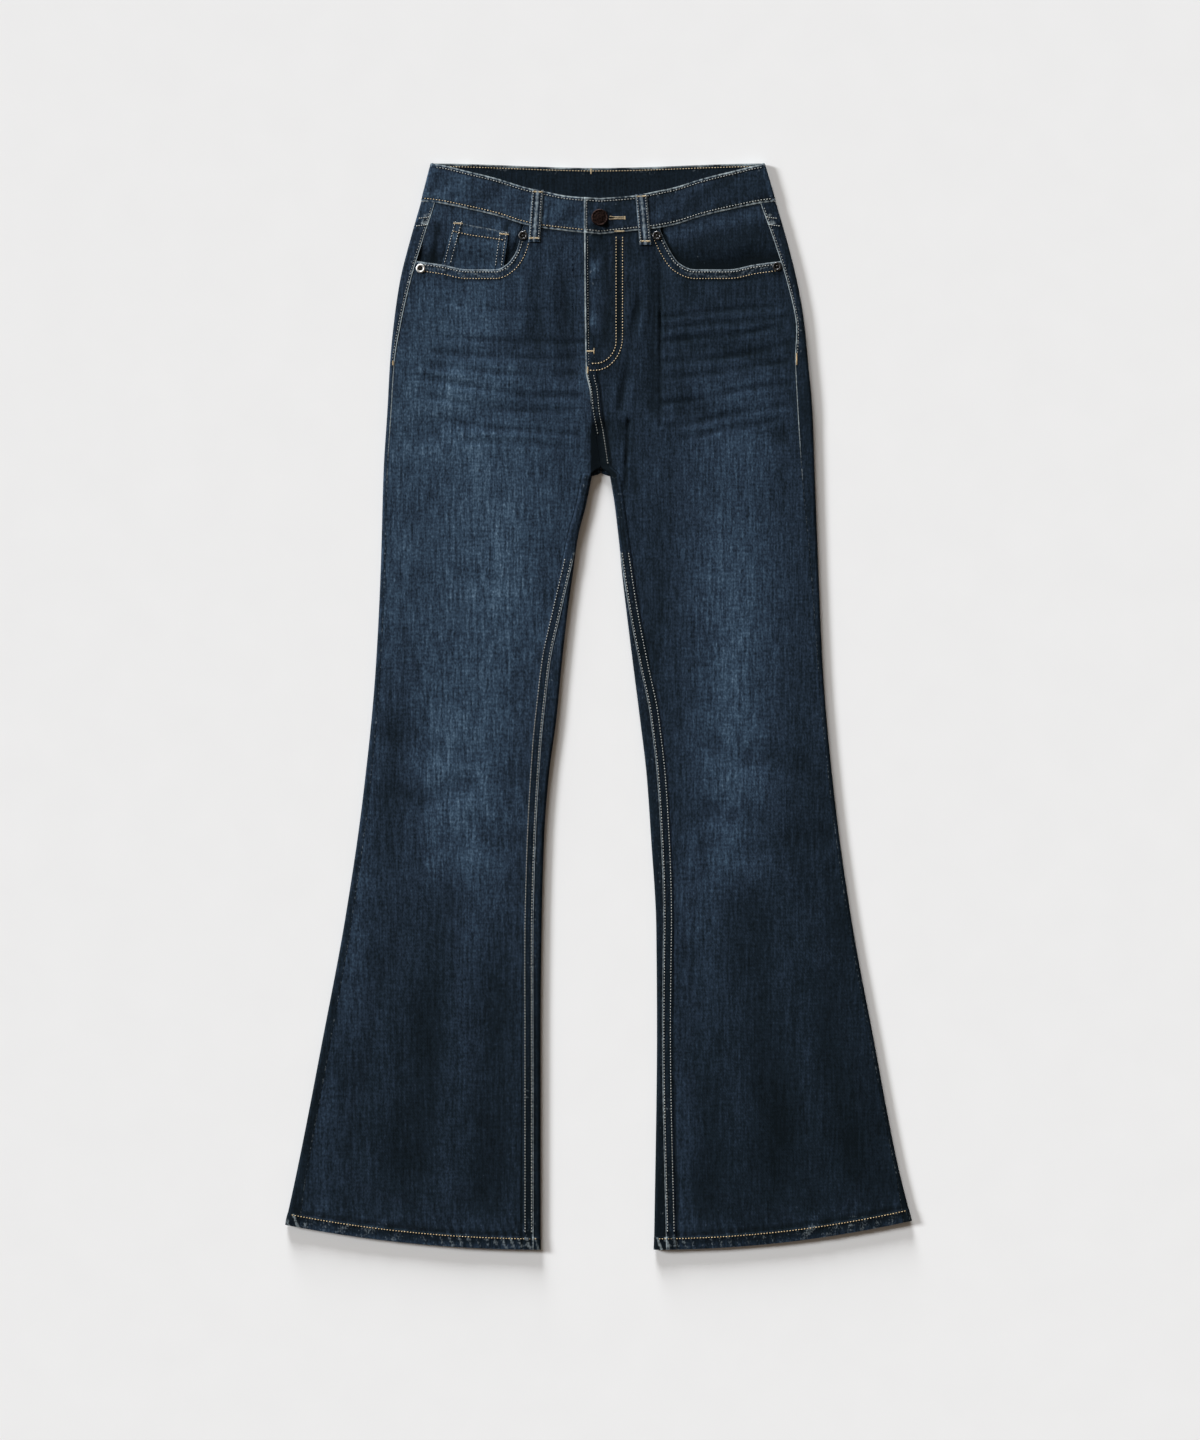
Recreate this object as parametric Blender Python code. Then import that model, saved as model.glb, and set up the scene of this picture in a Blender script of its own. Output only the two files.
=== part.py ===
"""Bootcut jeans lying flat with the front up, as the pieces that were cut and sewn.

Sizes are in millimetres until a mesh is written, which is in metres. X runs to the viewer's right,
Y towards the waist and Z up from the surface that the garment lies on. "down" is the distance
below the top of the back waistband. A side is -1 for the wearer's right leg, which lies on the
viewer's left, and +1 for the left leg.

Each leg is a flattened tube. The back panel lies underneath, wraps round both edges and ends in
the seams on top, where the front panel starts.
"""

import math

import bmesh
import bpy
import numpy as np

# Driving dimensions, in millimetres.
LENGTH = 1065.0  # top of the back waistband to the lowest point of the hem
SEAM_GAP = 0.3  # between pieces that are sewn together, and between layers
DENIM = 1.2  # wall of one layer of denim
BAND_WALL = 2.0  # waistband, two layers and their turnings
BAND_RAISE = 0.6  # waistband above the panels
BAND_DEPTH = 37.2  # waistband at the side edge
PATCH_WALL = 1.0  # belt loops and patch pockets
SEAT_RISE = 1.0 + SEAM_GAP  # seat above the floor, on its pockets and loops
FELL_WIDTH = 10.0  # flat felled seam band
SEAM_STRIP = 20.0  # part of a back panel beside its middle seam that turns into the inseam's edge
FELL_RAISE = 0.5
HEM_DEPTH = 12.0
HEM_RAISE = 0.6
HEM_TURNING = 1.0  # turned-up cloth inside the hem, below
HEM_FILL = 0.4  # and above
HEM_RISE = {-1: 24.5, 1: 28.5}  # outer hem corner above the lowest point
WAIST_CENTRE = 1.5  # middle of the waistband's dip
LAP_END = -14.2  # left end of the waistband, and of the fly's edge
LAP_START = 62.0  # where the left front starts to rise towards its overlap
LAP_RISE = 1.2  # overlapping end above the band's level
UNDERLAP_END = 16.0  # hidden right end of the waistband
UNDERLAP_START = -44.0  # where the right front starts to dip under the overlap
UNDERLAP_DIP = 0.5
BAND_DIP = BAND_WALL + SEAM_GAP - LAP_RISE  # right end of the waistband, below the left
FLY_FADE = (188.0, 226.0)  # where the overlap dies out, down
HIP = 140.0  # first level row of the front panels
SEAT = 255.0  # first level row of the back panels
SEAT_END = (244.0, 264.0)  # where the seat comes down to the floor
FORK_TOP, FORK = 297.0, 306.0  # where front and back start to part, and are parted, into two legs
YOKE_AT_SIDE, YOKE_AT_BACK = 58.0, 100.0  # yoke seam, down
MOUTH_LAP = 3.2  # pocket facing under the front panel
FACING_SINK = DENIM + 0.4
LOOP_WIDTH = 11.0
LOOP_TAIL = 15.0  # belt loop below the waistband
LOOP_LIFT = BAND_RAISE + SEAM_GAP + 0.1  # belt loop above the panels
FRONT_LOOPS = {-1: (-59.5, -63.2), 1: (41.7, 46.0)}  # x of the upper and the lower end
BACK_LOOPS = {"right": -105.0, "middle": 0.0, "left": 105.0}  # x
RIVET_DIAMETER = 9.0
RIVETS = {  # side, x and down
    "right_outer": (-1, -174.4, 103.4),
    "right_inner": (-1, -74.0, 71.1),
    "left_inner": (1, 57.3, 71.1),
    "left_outer": (1, 174.8, 101.4),
}
BUTTON_DIAMETER = 16.5
BUTTON_HEIGHT = 4.0
BUTTON_PLACE = (1.3, 53.8)  # x and down


class Table:
    """Rows of numbers with named columns, read along a smooth line through the first column."""

    def __init__(self, columns, rows):
        self.names = columns.split()
        self.values = np.array(rows, dtype=float)

    def at(self, name, place):
        x, y = self.values[:, 0], self.values[:, self.names.index(name)]
        slope = np.diff(y) / np.diff(x)
        flat = slope[1:] * slope[:-1] <= 0
        middle = np.where(flat, 0, 2 * slope[1:] * slope[:-1] / np.where(flat, 1, slope[1:] + slope[:-1]))
        tangent = np.concatenate(([slope[0]], middle, [slope[-1]]))
        place = np.clip(place, x[0], x[-1])
        k = np.clip(np.searchsorted(x, place) - 1, 0, len(x) - 2)
        width = x[k + 1] - x[k]
        t = (place - x[k]) / width
        ends = y[k] * (1 + 2 * t) * (1 - t) ** 2 + y[k + 1] * t * t * (3 - 2 * t)
        return ends + width * (tangent[k] * t * (1 - t) ** 2 - tangent[k + 1] * t * t * (1 - t))


# Outer edge of each leg from the middle line, and how far in from it the outseam lies.
OUTSIDE = Table(
    "down  right  left   right_seam  left_seam",
    (
        (0, 164.2, 162.7, 12.0, 12.0),
        (38, 174.1, 173.9, 14.0, 15.6),
        (75, 184.6, 184.6, 12.6, 13.1),
        (115, 194.6, 194.6, 10.6, 10.4),
        (155, 200.5, 201.6, 7.4, 8.4),
        (195, 204.4, 205.5, 4.6, 12.9),
        (240, 206.9, 209.6, 4.2, 14.7),
        (300, 210.7, 211.9, 4.2, 13.1),
        (400, 213.7, 215.7, 4.6, 7.6),
        (500, 218.9, 220.3, 5.1, 4.9),
        (620, 230.9, 231.3, 6.3, 4.1),
        (740, 248.4, 247.9, 7.2, 3.8),
        (860, 270.8, 270.1, 8.5, 3.8),
        (980, 294.1, 293.1, 9.8, 3.8),
        (1041, 307.2, 308.3, 14.0, 9.0),
    ),
)

# Inner edge of each leg from the middle line, and how far in from it the inseam lies.
INSIDE = Table(
    "down  right  left   right_seam  left_seam",
    (
        (304, 6.4, 11.3, -1.7, -1.7),
        (335, 12.7, 16.4, -1.6, -1.6),
        (364, 19.8, 19.6, -0.6, -0.8),
        (400, 24.8, 22.8, 2.6, 1.0),
        (440, 30.3, 27.5, 6.4, 2.6),
        (490, 35.9, 33.7, 11.4, 6.1),
        (545, 41.3, 40.7, 12.4, 10.1),
        (600, 48.6, 47.2, 9.5, 9.9),
        (660, 53.2, 51.4, 8.1, 9.5),
        (750, 55.8, 56.6, 7.9, 6.6),
        (850, 56.8, 57.3, 6.9, 4.9),
        (1065, 56.8, 54.4, 6.8, 11.8),
    ),
)

# Middle of the front, along the fly's edge and the rise seam below it, and of the back.
CENTRE = Table(
    "down  front  back",
    (
        (0, -13.5, 0),
        (60, -14.2, 0),
        (204, -12.7, 0),
        (222, -9.0, 0),
        (243, -6.9, 0.5),
        (263, -3.1, 1.5),
        (280, -0.5, 2.2),
        (301, 2.5, 2.5),
    ),
)

# Waistband on the front: its top edge and its seam, by distance from the middle of its dip.
WAIST = Table(
    "across  top   seam",
    (
        (0, 34.6, 70.0),
        (33, 32.0, 66.6),
        (54, 27.8, 64.2),
        (72, 24.0, 60.8),
        (101, 15.1, 51.9),
        (130, 7.9, 45.1),
        (160, 1.2, 39.2),
        (178, 0.0, BAND_DEPTH),
    ),
)
BACK_SAG = 4.4  # back waistband at the middle, below its ends

# Hip pocket mouth, as a fraction of the way from the outseam to the middle of the front.
MOUTH = Table(
    "knot  right  left   down",
    (
        (0, 0.000, 0.000, 96.0),
        (1, 0.157, 0.140, 99.5),
        (2, 0.320, 0.277, 104.2),
        (3, 0.477, 0.440, 104.2),
        (4, 0.549, 0.518, 98.0),
        (5, 0.594, 0.561, 83.3),
        (6, 0.608, 0.588, 67.4),
        (7, 0.613, 0.594, 61.8),
    ),
)
MOUTH_KNOTS = (0, 1, 2, 3, 3.6, 4.1, 4.6, 5, 5.6, 6.3, 7)
FRONT_FRACTIONS = (0.71, 0.81, 0.90)
FRONT_FROM_SEAM = (10.8, 9.8, 4.6, 0.0)  # last columns of a front panel, from its inner seam

# Height of the upper side above the floor, with no fold in it.
HEIGHT = Table("down  height", ((0, 6.6), (70, 6.6), (200, 6.8), (300, 6.4), (420, 6.0), (1065, 5.6)))

# Largest folds of the front, as soft troughs from one point to another.
FOLDS = Table(
    "fold  x_from  down_from  x_to  down_to  half_width  depth",
    (
        (0, 2, 262, 3, 312, 9, 2.2),  # dip to the fork
        (1, 60, 96, 56, 240, 8, 1.1),  # drag line from the left pocket
        (2, 28, 256, 34, 318, 8, 0.9),  # drag line beside the fork
        (3, -150, 190, -60, 176, 11, 0.6),  # hip creases, right
        (4, -172, 262, -70, 236, 12, 0.7),
        (5, 84, 176, 168, 192, 11, 0.6),  # hip creases, left
        (6, 86, 240, 178, 268, 12, 0.7),
    ),
)

# Back pockets: fractions of the way across half the seat, and down it from the yoke seam.
POCKET_COLUMNS = (0.22, 0.375, 0.53, 0.685, 0.84)
POCKET_MIDDLE, POCKET_HALF = 0.53, 0.31
POCKET_TOP, POCKET_SIDE, POCKET_POINT = 0.14, 0.72, 0.87

# Rows of the panels, down.
SEAT_ROWS = (YOKE_AT_SIDE, 80, 99.2, 119.6, 140, 165, 190, 215, 240)
HIP_ROWS = (165, 190, 215, 240)
FORK_ROWS = (262, 282, 291, FORK_TOP, 300, 303, FORK, 312, 322, 340, 365, 382, 400)
LEG_ROWS = (440, 490, 545, 600, 655, 710, 765, 820, 875, 930, 985, 1025)
HEM_ROWS = (LENGTH - HEM_DEPTH - 1, LENGTH - HEM_DEPTH, LENGTH - HEM_DEPTH / 2, LENGTH)

NAME = {-1: "right", 1: "left"}


def smooth(low, high, value):
    """0 below low, 1 above high, and a soft step between them."""
    t = np.clip((value - low) / (high - low), 0.0, 1.0)
    return t * t * (3 - 2 * t)


def mix(first, second, share):
    return first + (second - first) * share


def outer_edge(side, down):
    return side * OUTSIDE.at(NAME[side], down)


def inner_edge(side, down):
    return side * INSIDE.at(NAME[side], down)


def parted(down):
    """0 where front and back are whole across the middle, 1 where the legs are apart."""
    return float(smooth(FORK_TOP, FORK, down))


def floor(down):
    """Height of the underside, which lies on the seat's pockets and loops above the legs."""
    return SEAT_RISE * (1 - smooth(*SEAT_END, down))


def edge_radius(down):
    return (HEIGHT.at("height", down) - floor(down)) / 2


def fold_depth(x, down):
    """How far the folds sink the upper side at this place."""
    depth = 0.0
    for _, x0, down0, x1, down1, half_width, deepest in FOLDS.values:
        along_x, along_down = x1 - x0, down1 - down0
        t = ((x - x0) * along_x + (down - down0) * along_down) / (along_x**2 + along_down**2)
        t = min(max(t, 0.0), 1.0)
        off = math.hypot(x - x0 - t * along_x, down - down0 - t * along_down)
        depth += deepest * math.exp(-((off / half_width) ** 2))
    return depth


def lap(side, x, down):
    """Lift of the overlapping left side at the fly, and dip of the right side under it."""
    above_fly_end = 1 - smooth(*FLY_FADE, down)
    if side > 0:
        return LAP_RISE * (1 - smooth(UNDERLAP_END + 3, LAP_START, x)) * above_fly_end
    return -UNDERLAP_DIP * smooth(UNDERLAP_START, LAP_END - 4, x) * above_fly_end


def top(side, x, down):
    """Height of the upper side, before anything is raised on it."""
    return HEIGHT.at("height", down) - fold_depth(x, down) + lap(side, x, down)


def round_edge(side, edge, inward, path, down):
    """A point of the tube's section near an edge: x, height and the outward direction, x and up.

    The path runs from the point where the rounding starts on top: inward along the top where it
    is positive, and down round the edge and along the floor where it is negative.
    """
    radius = edge_radius(down)
    if path >= 0:
        x = edge + inward * (radius + path)
        return np.array((x, top(side, x, down), 0, 1))
    if -path >= math.pi * radius:
        return np.array((edge + inward * (radius - path - math.pi * radius), floor(down), 0, -1))
    angle = -path / radius
    out, up = -inward * math.sin(angle), math.cos(angle)
    return np.array((edge + inward * radius + radius * out, floor(down) + radius * (1 + up), out, up))


def across(side, x, down):
    """How far a point lies from the leg's outer edge, as a fraction of the width."""
    inner = mix(0.0, inner_edge(side, down), parted(down))
    outer = outer_edge(side, down)
    return float(np.clip((x - outer) / (inner - outer), 0, 1))


def hem_line(side, row, x):
    """A row near the hem curves up towards the outer edge as the hem does."""
    rise = HEM_RISE[side] * smooth(880, LENGTH, row)
    return row - rise * (1 - across(side, x, row - rise)) ** 2


def waist_seam(x):
    return WAIST.at("seam", abs(x - WAIST_CENTRE))


def back_waist_seam(x):
    return BAND_DEPTH + back_sag(x)


def back_sag(x):
    return BACK_SAG * (1 - smooth(0, 165, abs(x)))


def yoke_seam(share):
    """The yoke seam drops from the side to the middle of the back."""
    return mix(YOKE_AT_SIDE, YOKE_AT_BACK, share)


def front_point(side, down, from_outseam, from_seam):
    """A point of a front panel, by the fraction of its width or by the path from its inner seam."""
    seam_inset = OUTSIDE.at(NAME[side] + "_seam", down)
    start = outer_edge(side, down) - side * (seam_inset + SEAM_GAP / 2)
    middle = CENTRE.at("front", down) + side * SEAM_GAP / 2
    width = abs(middle - start)
    path = from_outseam * width if from_seam is None else width - from_seam
    x = start - side * path
    whole = np.array((x, top(side, x, down), 0, 1))
    share = parted(down)
    if share == 0:
        return whole
    edge, radius = inner_edge(side, down), edge_radius(down)
    seam_path = INSIDE.at(NAME[side] + "_seam", down) - radius + SEAM_GAP / 2
    length = abs(edge + side * radius - start) - seam_path
    path = from_outseam * length if from_seam is None else length - from_seam
    split = round_edge(side, edge, side, seam_path + length - path, down)
    return mix(whole, split, share)


def front_columns(side):
    """Columns of a front panel: across the pocket mouth, on to the middle, then along the seam."""
    columns = [(float(MOUTH.at(NAME[side], knot)), None) for knot in MOUTH_KNOTS]
    columns += [(share, None) for share in FRONT_FRACTIONS]
    return columns + [(None, distance) for distance in FRONT_FROM_SEAM]


def front_top(side, column, x):
    """Where a front panel starts: at the pocket mouth, then at the waistband."""
    if column < len(MOUTH_KNOTS) - 1:
        return float(MOUTH.at("down", MOUTH_KNOTS[column]))
    return float(waist_seam(x)) + SEAM_GAP / 2


def front_row(side, place, level):
    """Points of one row of a front panel, where place gives the row's down for a column and x."""
    points = []
    for column, (share, from_seam) in enumerate(front_columns(side)):
        x, down = 0.0, level
        for _ in range(4):
            down = place(column, x)
            x, height, out, up = front_point(side, down, share, from_seam)
        points.append((x, LENGTH / 2 - down, height, out, up))
    return points


def front_grid(side):
    """Rows of a front panel, with the down of each for its seams and hem."""
    rows = [(lambda column, x: front_top(side, column, x), 90.0)]
    for share in (0.0, 0.25, 0.5, 0.75, 1.0):
        rows.append(
            (lambda column, x, share=share: mix(front_top(side, column, x) + MOUTH_LAP, HIP, share), HIP)
        )
    for row in HIP_ROWS + FORK_ROWS + LEG_ROWS + HEM_ROWS:
        rows.append((lambda column, x, row=row: hem_line(side, row, x), row))
    points = np.array([front_row(side, place, level) for place, level in rows])
    return points, np.array([level for _, level in rows])


def build_front(side):
    points, levels = front_grid(side)
    raised = np.zeros(points.shape[:2])
    felled = levels > FORK if side < 0 else levels > 0
    on_fell = [from_seam is not None and from_seam < FELL_WIDTH for _, from_seam in front_columns(side)]
    raised[np.ix_(felled, on_fell)] = FELL_RAISE
    walls = np.full_like(raised, DENIM)
    in_hem = levels >= LENGTH - HEM_DEPTH
    raised[in_hem] += HEM_RAISE
    walls[in_hem] += HEM_FILL
    return cloth("front_" + NAME[side], points, raised, walls, DENIM_FRONT)


def back_point(side, down, zone, share):
    """A point of a back panel or yoke: round the outer edge, along the floor, or at the inner seam."""
    radius = edge_radius(down)
    outer = outer_edge(side, down)
    if zone == "outer":
        seam_inset = OUTSIDE.at(NAME[side] + "_seam", down)
        start = seam_inset - radius - SEAM_GAP / 2
        return round_edge(side, outer, -side, mix(start, -math.pi * radius, share), down)
    middle = CENTRE.at("back", down) + side * SEAM_GAP / 2
    part = parted(down)
    edge = inner_edge(side, down)
    seam_start = middle + side * SEAM_STRIP
    flat_end = mix(seam_start, edge + side * radius, part)
    if zone == "floor":
        return np.array((mix(outer - side * radius, flat_end, share), floor(down), 0, -1))
    whole = np.array((mix(seam_start, middle, share), floor(down), 0, -1))
    seam_path = INSIDE.at(NAME[side] + "_seam", down) - radius - SEAM_GAP / 2
    split = round_edge(side, edge, side, mix(-math.pi * radius, seam_path, share), down)
    return mix(whole, split, part)


def back_columns():
    columns = [("outer", k / 7) for k in range(8)]
    columns += [("floor", k / 5) for k in range(1, 6)]
    return columns + [("inner", k / 7) for k in range(1, 8)]


def back_row(side, place):
    """Points of one row of a back panel or yoke, where place gives the row's down for a point."""
    points = []
    for zone, share in back_columns():
        x, height, down = outer_edge(side, 60), 0.0, 60.0
        for _ in range(4):
            down = place(x, height)
            x, height, out, up = back_point(side, down, zone, share)
        points.append((x, LENGTH / 2 - down, height, out, up))
    return points


def on_flap():
    """1 on the columns of a back panel that lie on top beside the outseam."""
    return np.array([1.0 if zone == "outer" and share < 0.3 else 0.0 for zone, share in back_columns()])


def build_back(side):
    rows = []
    for level in SEAT_ROWS:
        def place(x, _height, level=level):
            drop = yoke_seam(across(side, x, 60)) - YOKE_AT_SIDE
            return level + drop * (SEAT - level) / (SEAT - YOKE_AT_SIDE) + SEAM_GAP / 2
        rows.append((place, level))
    for row in FORK_ROWS + LEG_ROWS + HEM_ROWS:
        rows.append((lambda x, _height, row=row: hem_line(side, row, x), row))
    points = np.array([back_row(side, place) for place, _ in rows])
    levels = np.array([level for _, level in rows])
    raised = np.outer(FELL_RAISE * (1 - smooth(185, 205, levels)), on_flap())
    walls = np.full_like(raised, DENIM)
    in_hem = levels >= LENGTH - HEM_DEPTH
    upper = smooth(0.35, 0.75, points[..., 2] / HEIGHT.at("height", LENGTH))
    raised[in_hem] = HEM_RAISE * upper[in_hem]
    walls[in_hem] += mix(HEM_TURNING, HEM_FILL, upper[in_hem])
    return cloth("back_" + NAME[side], points, raised, walls, DENIM_BACK)


def build_yoke(side):
    def place(x, height, share):
        upper = smooth(0.3, 0.7, height / HEIGHT.at("height", 0))
        start = mix(back_waist_seam(x), waist_seam(x), upper) + SEAM_GAP / 2
        return mix(start, yoke_seam(across(side, x, 60)) - SEAM_GAP / 2, share)

    rows = [lambda x, height, share=share: place(x, height, share) for share in (0.0, 0.5, 1.0)]
    points = np.array([back_row(side, row) for row in rows])
    raised = np.tile(FELL_RAISE * on_flap(), (len(rows), 1))
    return cloth("yoke_" + NAME[side], points, raised, np.full_like(raised, DENIM), DENIM_BACK)


def facing_grid(side):
    """The pocket facing on the front panel's own columns, sunk under the mouth of the pocket."""
    columns = front_columns(side)[: len(MOUTH_KNOTS)]
    rows = []
    for share in (0.0, 0.25, 0.5, 0.75, 1.0):
        def place(column, x, share=share):
            start = float(waist_seam(x)) + SEAM_GAP / 2
            return mix(start, max(front_top(side, column, x), start) + MOUTH_LAP - 0.3, share)
        rows.append(front_row(side, place, 80.0)[: len(columns)])
    points = np.array(rows)
    start, end = points[0, :, 1], points[-1, :, 1]
    from_mouth = np.array([row[:, 1] - end - MOUTH_LAP for row in points])
    tall = np.clip((start - end) / 40, 0, 1)
    sunk = FACING_SINK * (1 - smooth(4, 22, from_mouth) * tall)
    return points, -sunk


def build_facing(side):
    points, raised = facing_grid(side)
    return cloth("pocket_facing_" + NAME[side], points, raised, DENIM - raised, DENIM_FRONT)


def build_coin_pocket():
    """The coin pocket lies on the right facing, on the facing's points moved out."""
    points, raised = facing_grid(-1)
    patch, lift = points[1:, 1:5].copy(), raised[1:, 1:5] + SEAM_GAP
    patch[-1, :, 1] += MOUTH_LAP + 0.2
    return cloth("coin_pocket", patch, lift + PATCH_WALL, -lift, DENIM_FRONT)


def build_back_pocket(side):
    """A patch pocket with a pointed bottom, under the seat."""
    rows = []
    for step in range(5):
        points = []
        for column in POCKET_COLUMNS:
            point = mix(POCKET_SIDE, POCKET_POINT, 1 - abs(column - POCKET_MIDDLE) / POCKET_HALF)
            share = mix(POCKET_TOP, point, step / 4)
            start = yoke_seam(column)
            down = mix(start, SEAT, share)
            outer = outer_edge(side, down)
            points.append((mix(outer, 0.0, column), LENGTH / 2 - down, 0.0, 0.0, -1.0))
        rows.append(points)
    points = np.array(rows)
    flat = np.zeros(points.shape[:2])
    return cloth("back_pocket_" + NAME[side], points, flat, flat + PATCH_WALL, DENIM_BACK)


def band_stations():
    """Stations along the waistband, from its hidden right end round the back to its left end."""
    right, left = outer_edge(-1, 18), outer_edge(1, 18)
    round_right, round_left = right + 4.0, left - 4.0
    stations = [("front", -1, x) for x in np.linspace(UNDERLAP_END, round_right, 19)]
    stations += [("edge", -1, k / 6) for k in range(1, 6)]
    stations += [("back", -1, x) for x in np.linspace(round_right, round_left, 17)]
    stations += [("edge", 1, 1 - k / 6) for k in range(1, 6)]
    return stations + [("front", 1, x) for x in np.linspace(round_left, LAP_END, 19)]


def band_point(kind, side, place, share):
    """A point of the waistband, with how much it is raised there. Share 0 is its top edge."""
    side_edge = outer_edge(1, 18)
    if kind == "edge":
        down = share * (BAND_DEPTH - SEAM_GAP / 2)
        path = -place * math.pi * edge_radius(down)
        x, height, out, up = round_edge(side, outer_edge(side, down), -side, path, down)
        return (x, LENGTH / 2 - down, height, out, up), BAND_RAISE * (1 - smooth(0.4, 0.9, place))
    x = place
    for _ in range(6):
        if kind == "back":
            down = mix(back_sag(x), back_waist_seam(x) - SEAM_GAP / 2, share)
        else:
            off = abs(x - WAIST_CENTRE)
            down = mix(WAIST.at("top", off), WAIST.at("seam", off) - SEAM_GAP / 2, share)
        x = place * mix(1.0, outer_edge(1, down) / side_edge, smooth(60, 120, abs(place)))
    if kind == "back":
        return (x, LENGTH / 2 - down, floor(down), 0, -1), 0.0
    height = top(side, x, down)
    if side < 0:
        height -= (BAND_DIP - UNDERLAP_DIP) * smooth(UNDERLAP_START, LAP_END - 4, x)
    return (x, LENGTH / 2 - down, height, 0, 1), BAND_RAISE


def build_waistband():
    stations = band_stations()
    shares = (0.0, 0.5, 1.0)
    made = [[band_point(*station, share) for station in stations] for share in shares]
    points = np.array([[point for point, _ in row] for row in made])
    raised = np.array([[lift for _, lift in row] for row in made])
    return cloth("waistband", points, raised, np.full_like(raised, BAND_WALL), DENIM_BAND)


def build_front_loop(side):
    """A belt loop over the waistband, its lower end turned in against the panel below."""
    x_top, x_end = FRONT_LOOPS[side]
    start = float(WAIST.at("top", abs(x_top - WAIST_CENTRE)))
    seam = float(max(waist_seam(x_end - LOOP_WIDTH / 2), waist_seam(x_end + LOOP_WIDTH / 2)))
    end = float(waist_seam(x_end)) + LOOP_TAIL
    rows, walls = [], []
    for down in (start, start + 4, mix(start, seam, 0.5), seam - 2, seam + 1, seam + 2.5, end):
        middle = mix(x_top, x_end, (down - start) / (end - start))
        rows.append([
            (x, LENGTH / 2 - down, top(side, x, down) + LOOP_LIFT + PATCH_WALL, 0, 1)
            for x in np.linspace(middle - LOOP_WIDTH / 2, middle + LOOP_WIDTH / 2, 3)
        ])
        walls.append([PATCH_WALL + (BAND_RAISE - 0.1 if down > seam + 2 else 0.0)] * 3)
    rows, walls = np.array(rows), np.array(walls)
    return cloth("belt_loop_front_" + NAME[side], rows, np.zeros_like(walls), walls, DENIM_BAND)


def build_back_loop(name, x):
    """A belt loop under the back of the waistband, flat on the floor."""
    start = back_sag(x) + 0.5
    length = BAND_DEPTH + LOOP_TAIL
    bm = bmesh.new()
    bmesh.ops.create_cube(bm, size=1.0)
    bmesh.ops.scale(bm, vec=(LOOP_WIDTH, length, PATCH_WALL), verts=bm.verts)
    middle = (x, LENGTH / 2 - start - length / 2, PATCH_WALL / 2)
    bmesh.ops.translate(bm, vec=middle, verts=bm.verts)
    upright = [edge for edge in bm.edges if abs(edge.verts[0].co.z - edge.verts[1].co.z) > 0.5]
    bmesh.ops.bevel(bm, geom=upright, offset=1.2, segments=2, profile=0.5, affect="EDGES")
    return finish(bm, name, DENIM_BAND)


def turned(name, profile, steps, place, material):
    """A round piece turned from a profile of (radius, height) rows, set on its place."""
    bm = bmesh.new()
    points = [bm.verts.new((radius, 0, height)) for radius, height in profile]
    for first, second in zip(points, points[1:]):
        bm.edges.new((first, second))
    bmesh.ops.spin(
        bm, geom=bm.verts[:] + bm.edges[:], cent=(0, 0, 0), axis=(0, 0, 1), dvec=(0, 0, 0),
        angle=2 * math.pi, steps=steps, use_merge=True,
    )
    bmesh.ops.remove_doubles(bm, verts=bm.verts, dist=0.001)
    bmesh.ops.recalc_face_normals(bm, faces=bm.faces)
    bmesh.ops.translate(bm, vec=place, verts=bm.verts)
    return finish(bm, name, material)


def build_button():
    """A domed metal button with a raised rim, on the overlapping end of the waistband."""
    x, down = BUTTON_PLACE
    rim, height = BUTTON_DIAMETER / 2, BUTTON_HEIGHT
    seat = float(top(1, x, down)) + BAND_RAISE + SEAM_GAP
    profile = (
        (0.0, 0.0), (rim - 1.2, 0.0), (rim, 0.9),
        (rim, height - 1.6), (rim - 0.8, height - 0.8), (rim - 2.0, height - 1.2),
        (rim - 3.4, height - 0.4), (0.0, height),
    )
    return turned("button", profile, 20, (x, LENGTH / 2 - down, seat), BUTTON_METAL)


def build_rivet(name, side, x, down):
    """A rivet head: a shallow ring round a dished middle with a small point."""
    rim = RIVET_DIAMETER / 2
    seat = float(top(side, x, down)) + SEAM_GAP + 0.1
    profile = (
        (0.0, 0.0), (rim - 0.3, 0.0), (rim, 0.5),
        (rim - 1.0, 1.3), (rim - 2.2, 0.7), (0.9, 0.7), (0.0, 1.5),
    )
    return turned("rivet_" + name, profile, 14, (x, LENGTH / 2 - down, seat), RIVET_METAL)


def cloth(name, grid, raised, walls, material):
    """A closed wall of cloth over a grid of points, raised outward, and as thick as its walls.

    Each point holds its place and the outward direction in its section, x and up.
    """
    points = grid[..., :3]
    normals = np.stack((grid[..., 3], np.zeros_like(raised), grid[..., 4]), axis=-1)
    normals /= np.linalg.norm(normals, axis=2, keepdims=True)
    outer = (points + normals * raised[..., None]).reshape(-1, 3)
    inner = (points - normals * walls[..., None]).reshape(-1, 3)
    bm = bmesh.new()
    bmesh.ops.create_grid(bm, x_segments=points.shape[1] - 1, y_segments=points.shape[0] - 1, size=1.0)
    order = bm.verts.layers.int.new("order")
    for vert, place in zip(bm.verts, outer):
        vert[order] = vert.index
        vert.co = place
    made = bmesh.ops.extrude_face_region(bm, geom=bm.faces[:], use_keep_orig=True)["geom"]
    for vert in made:
        if isinstance(vert, bmesh.types.BMVert):
            vert.co = inner[vert[order]]
    bmesh.ops.recalc_face_normals(bm, faces=bm.faces)
    if bm.calc_volume(signed=True) < 0:
        bmesh.ops.reverse_faces(bm, faces=bm.faces)
    return finish(bm, name, material)


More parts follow.
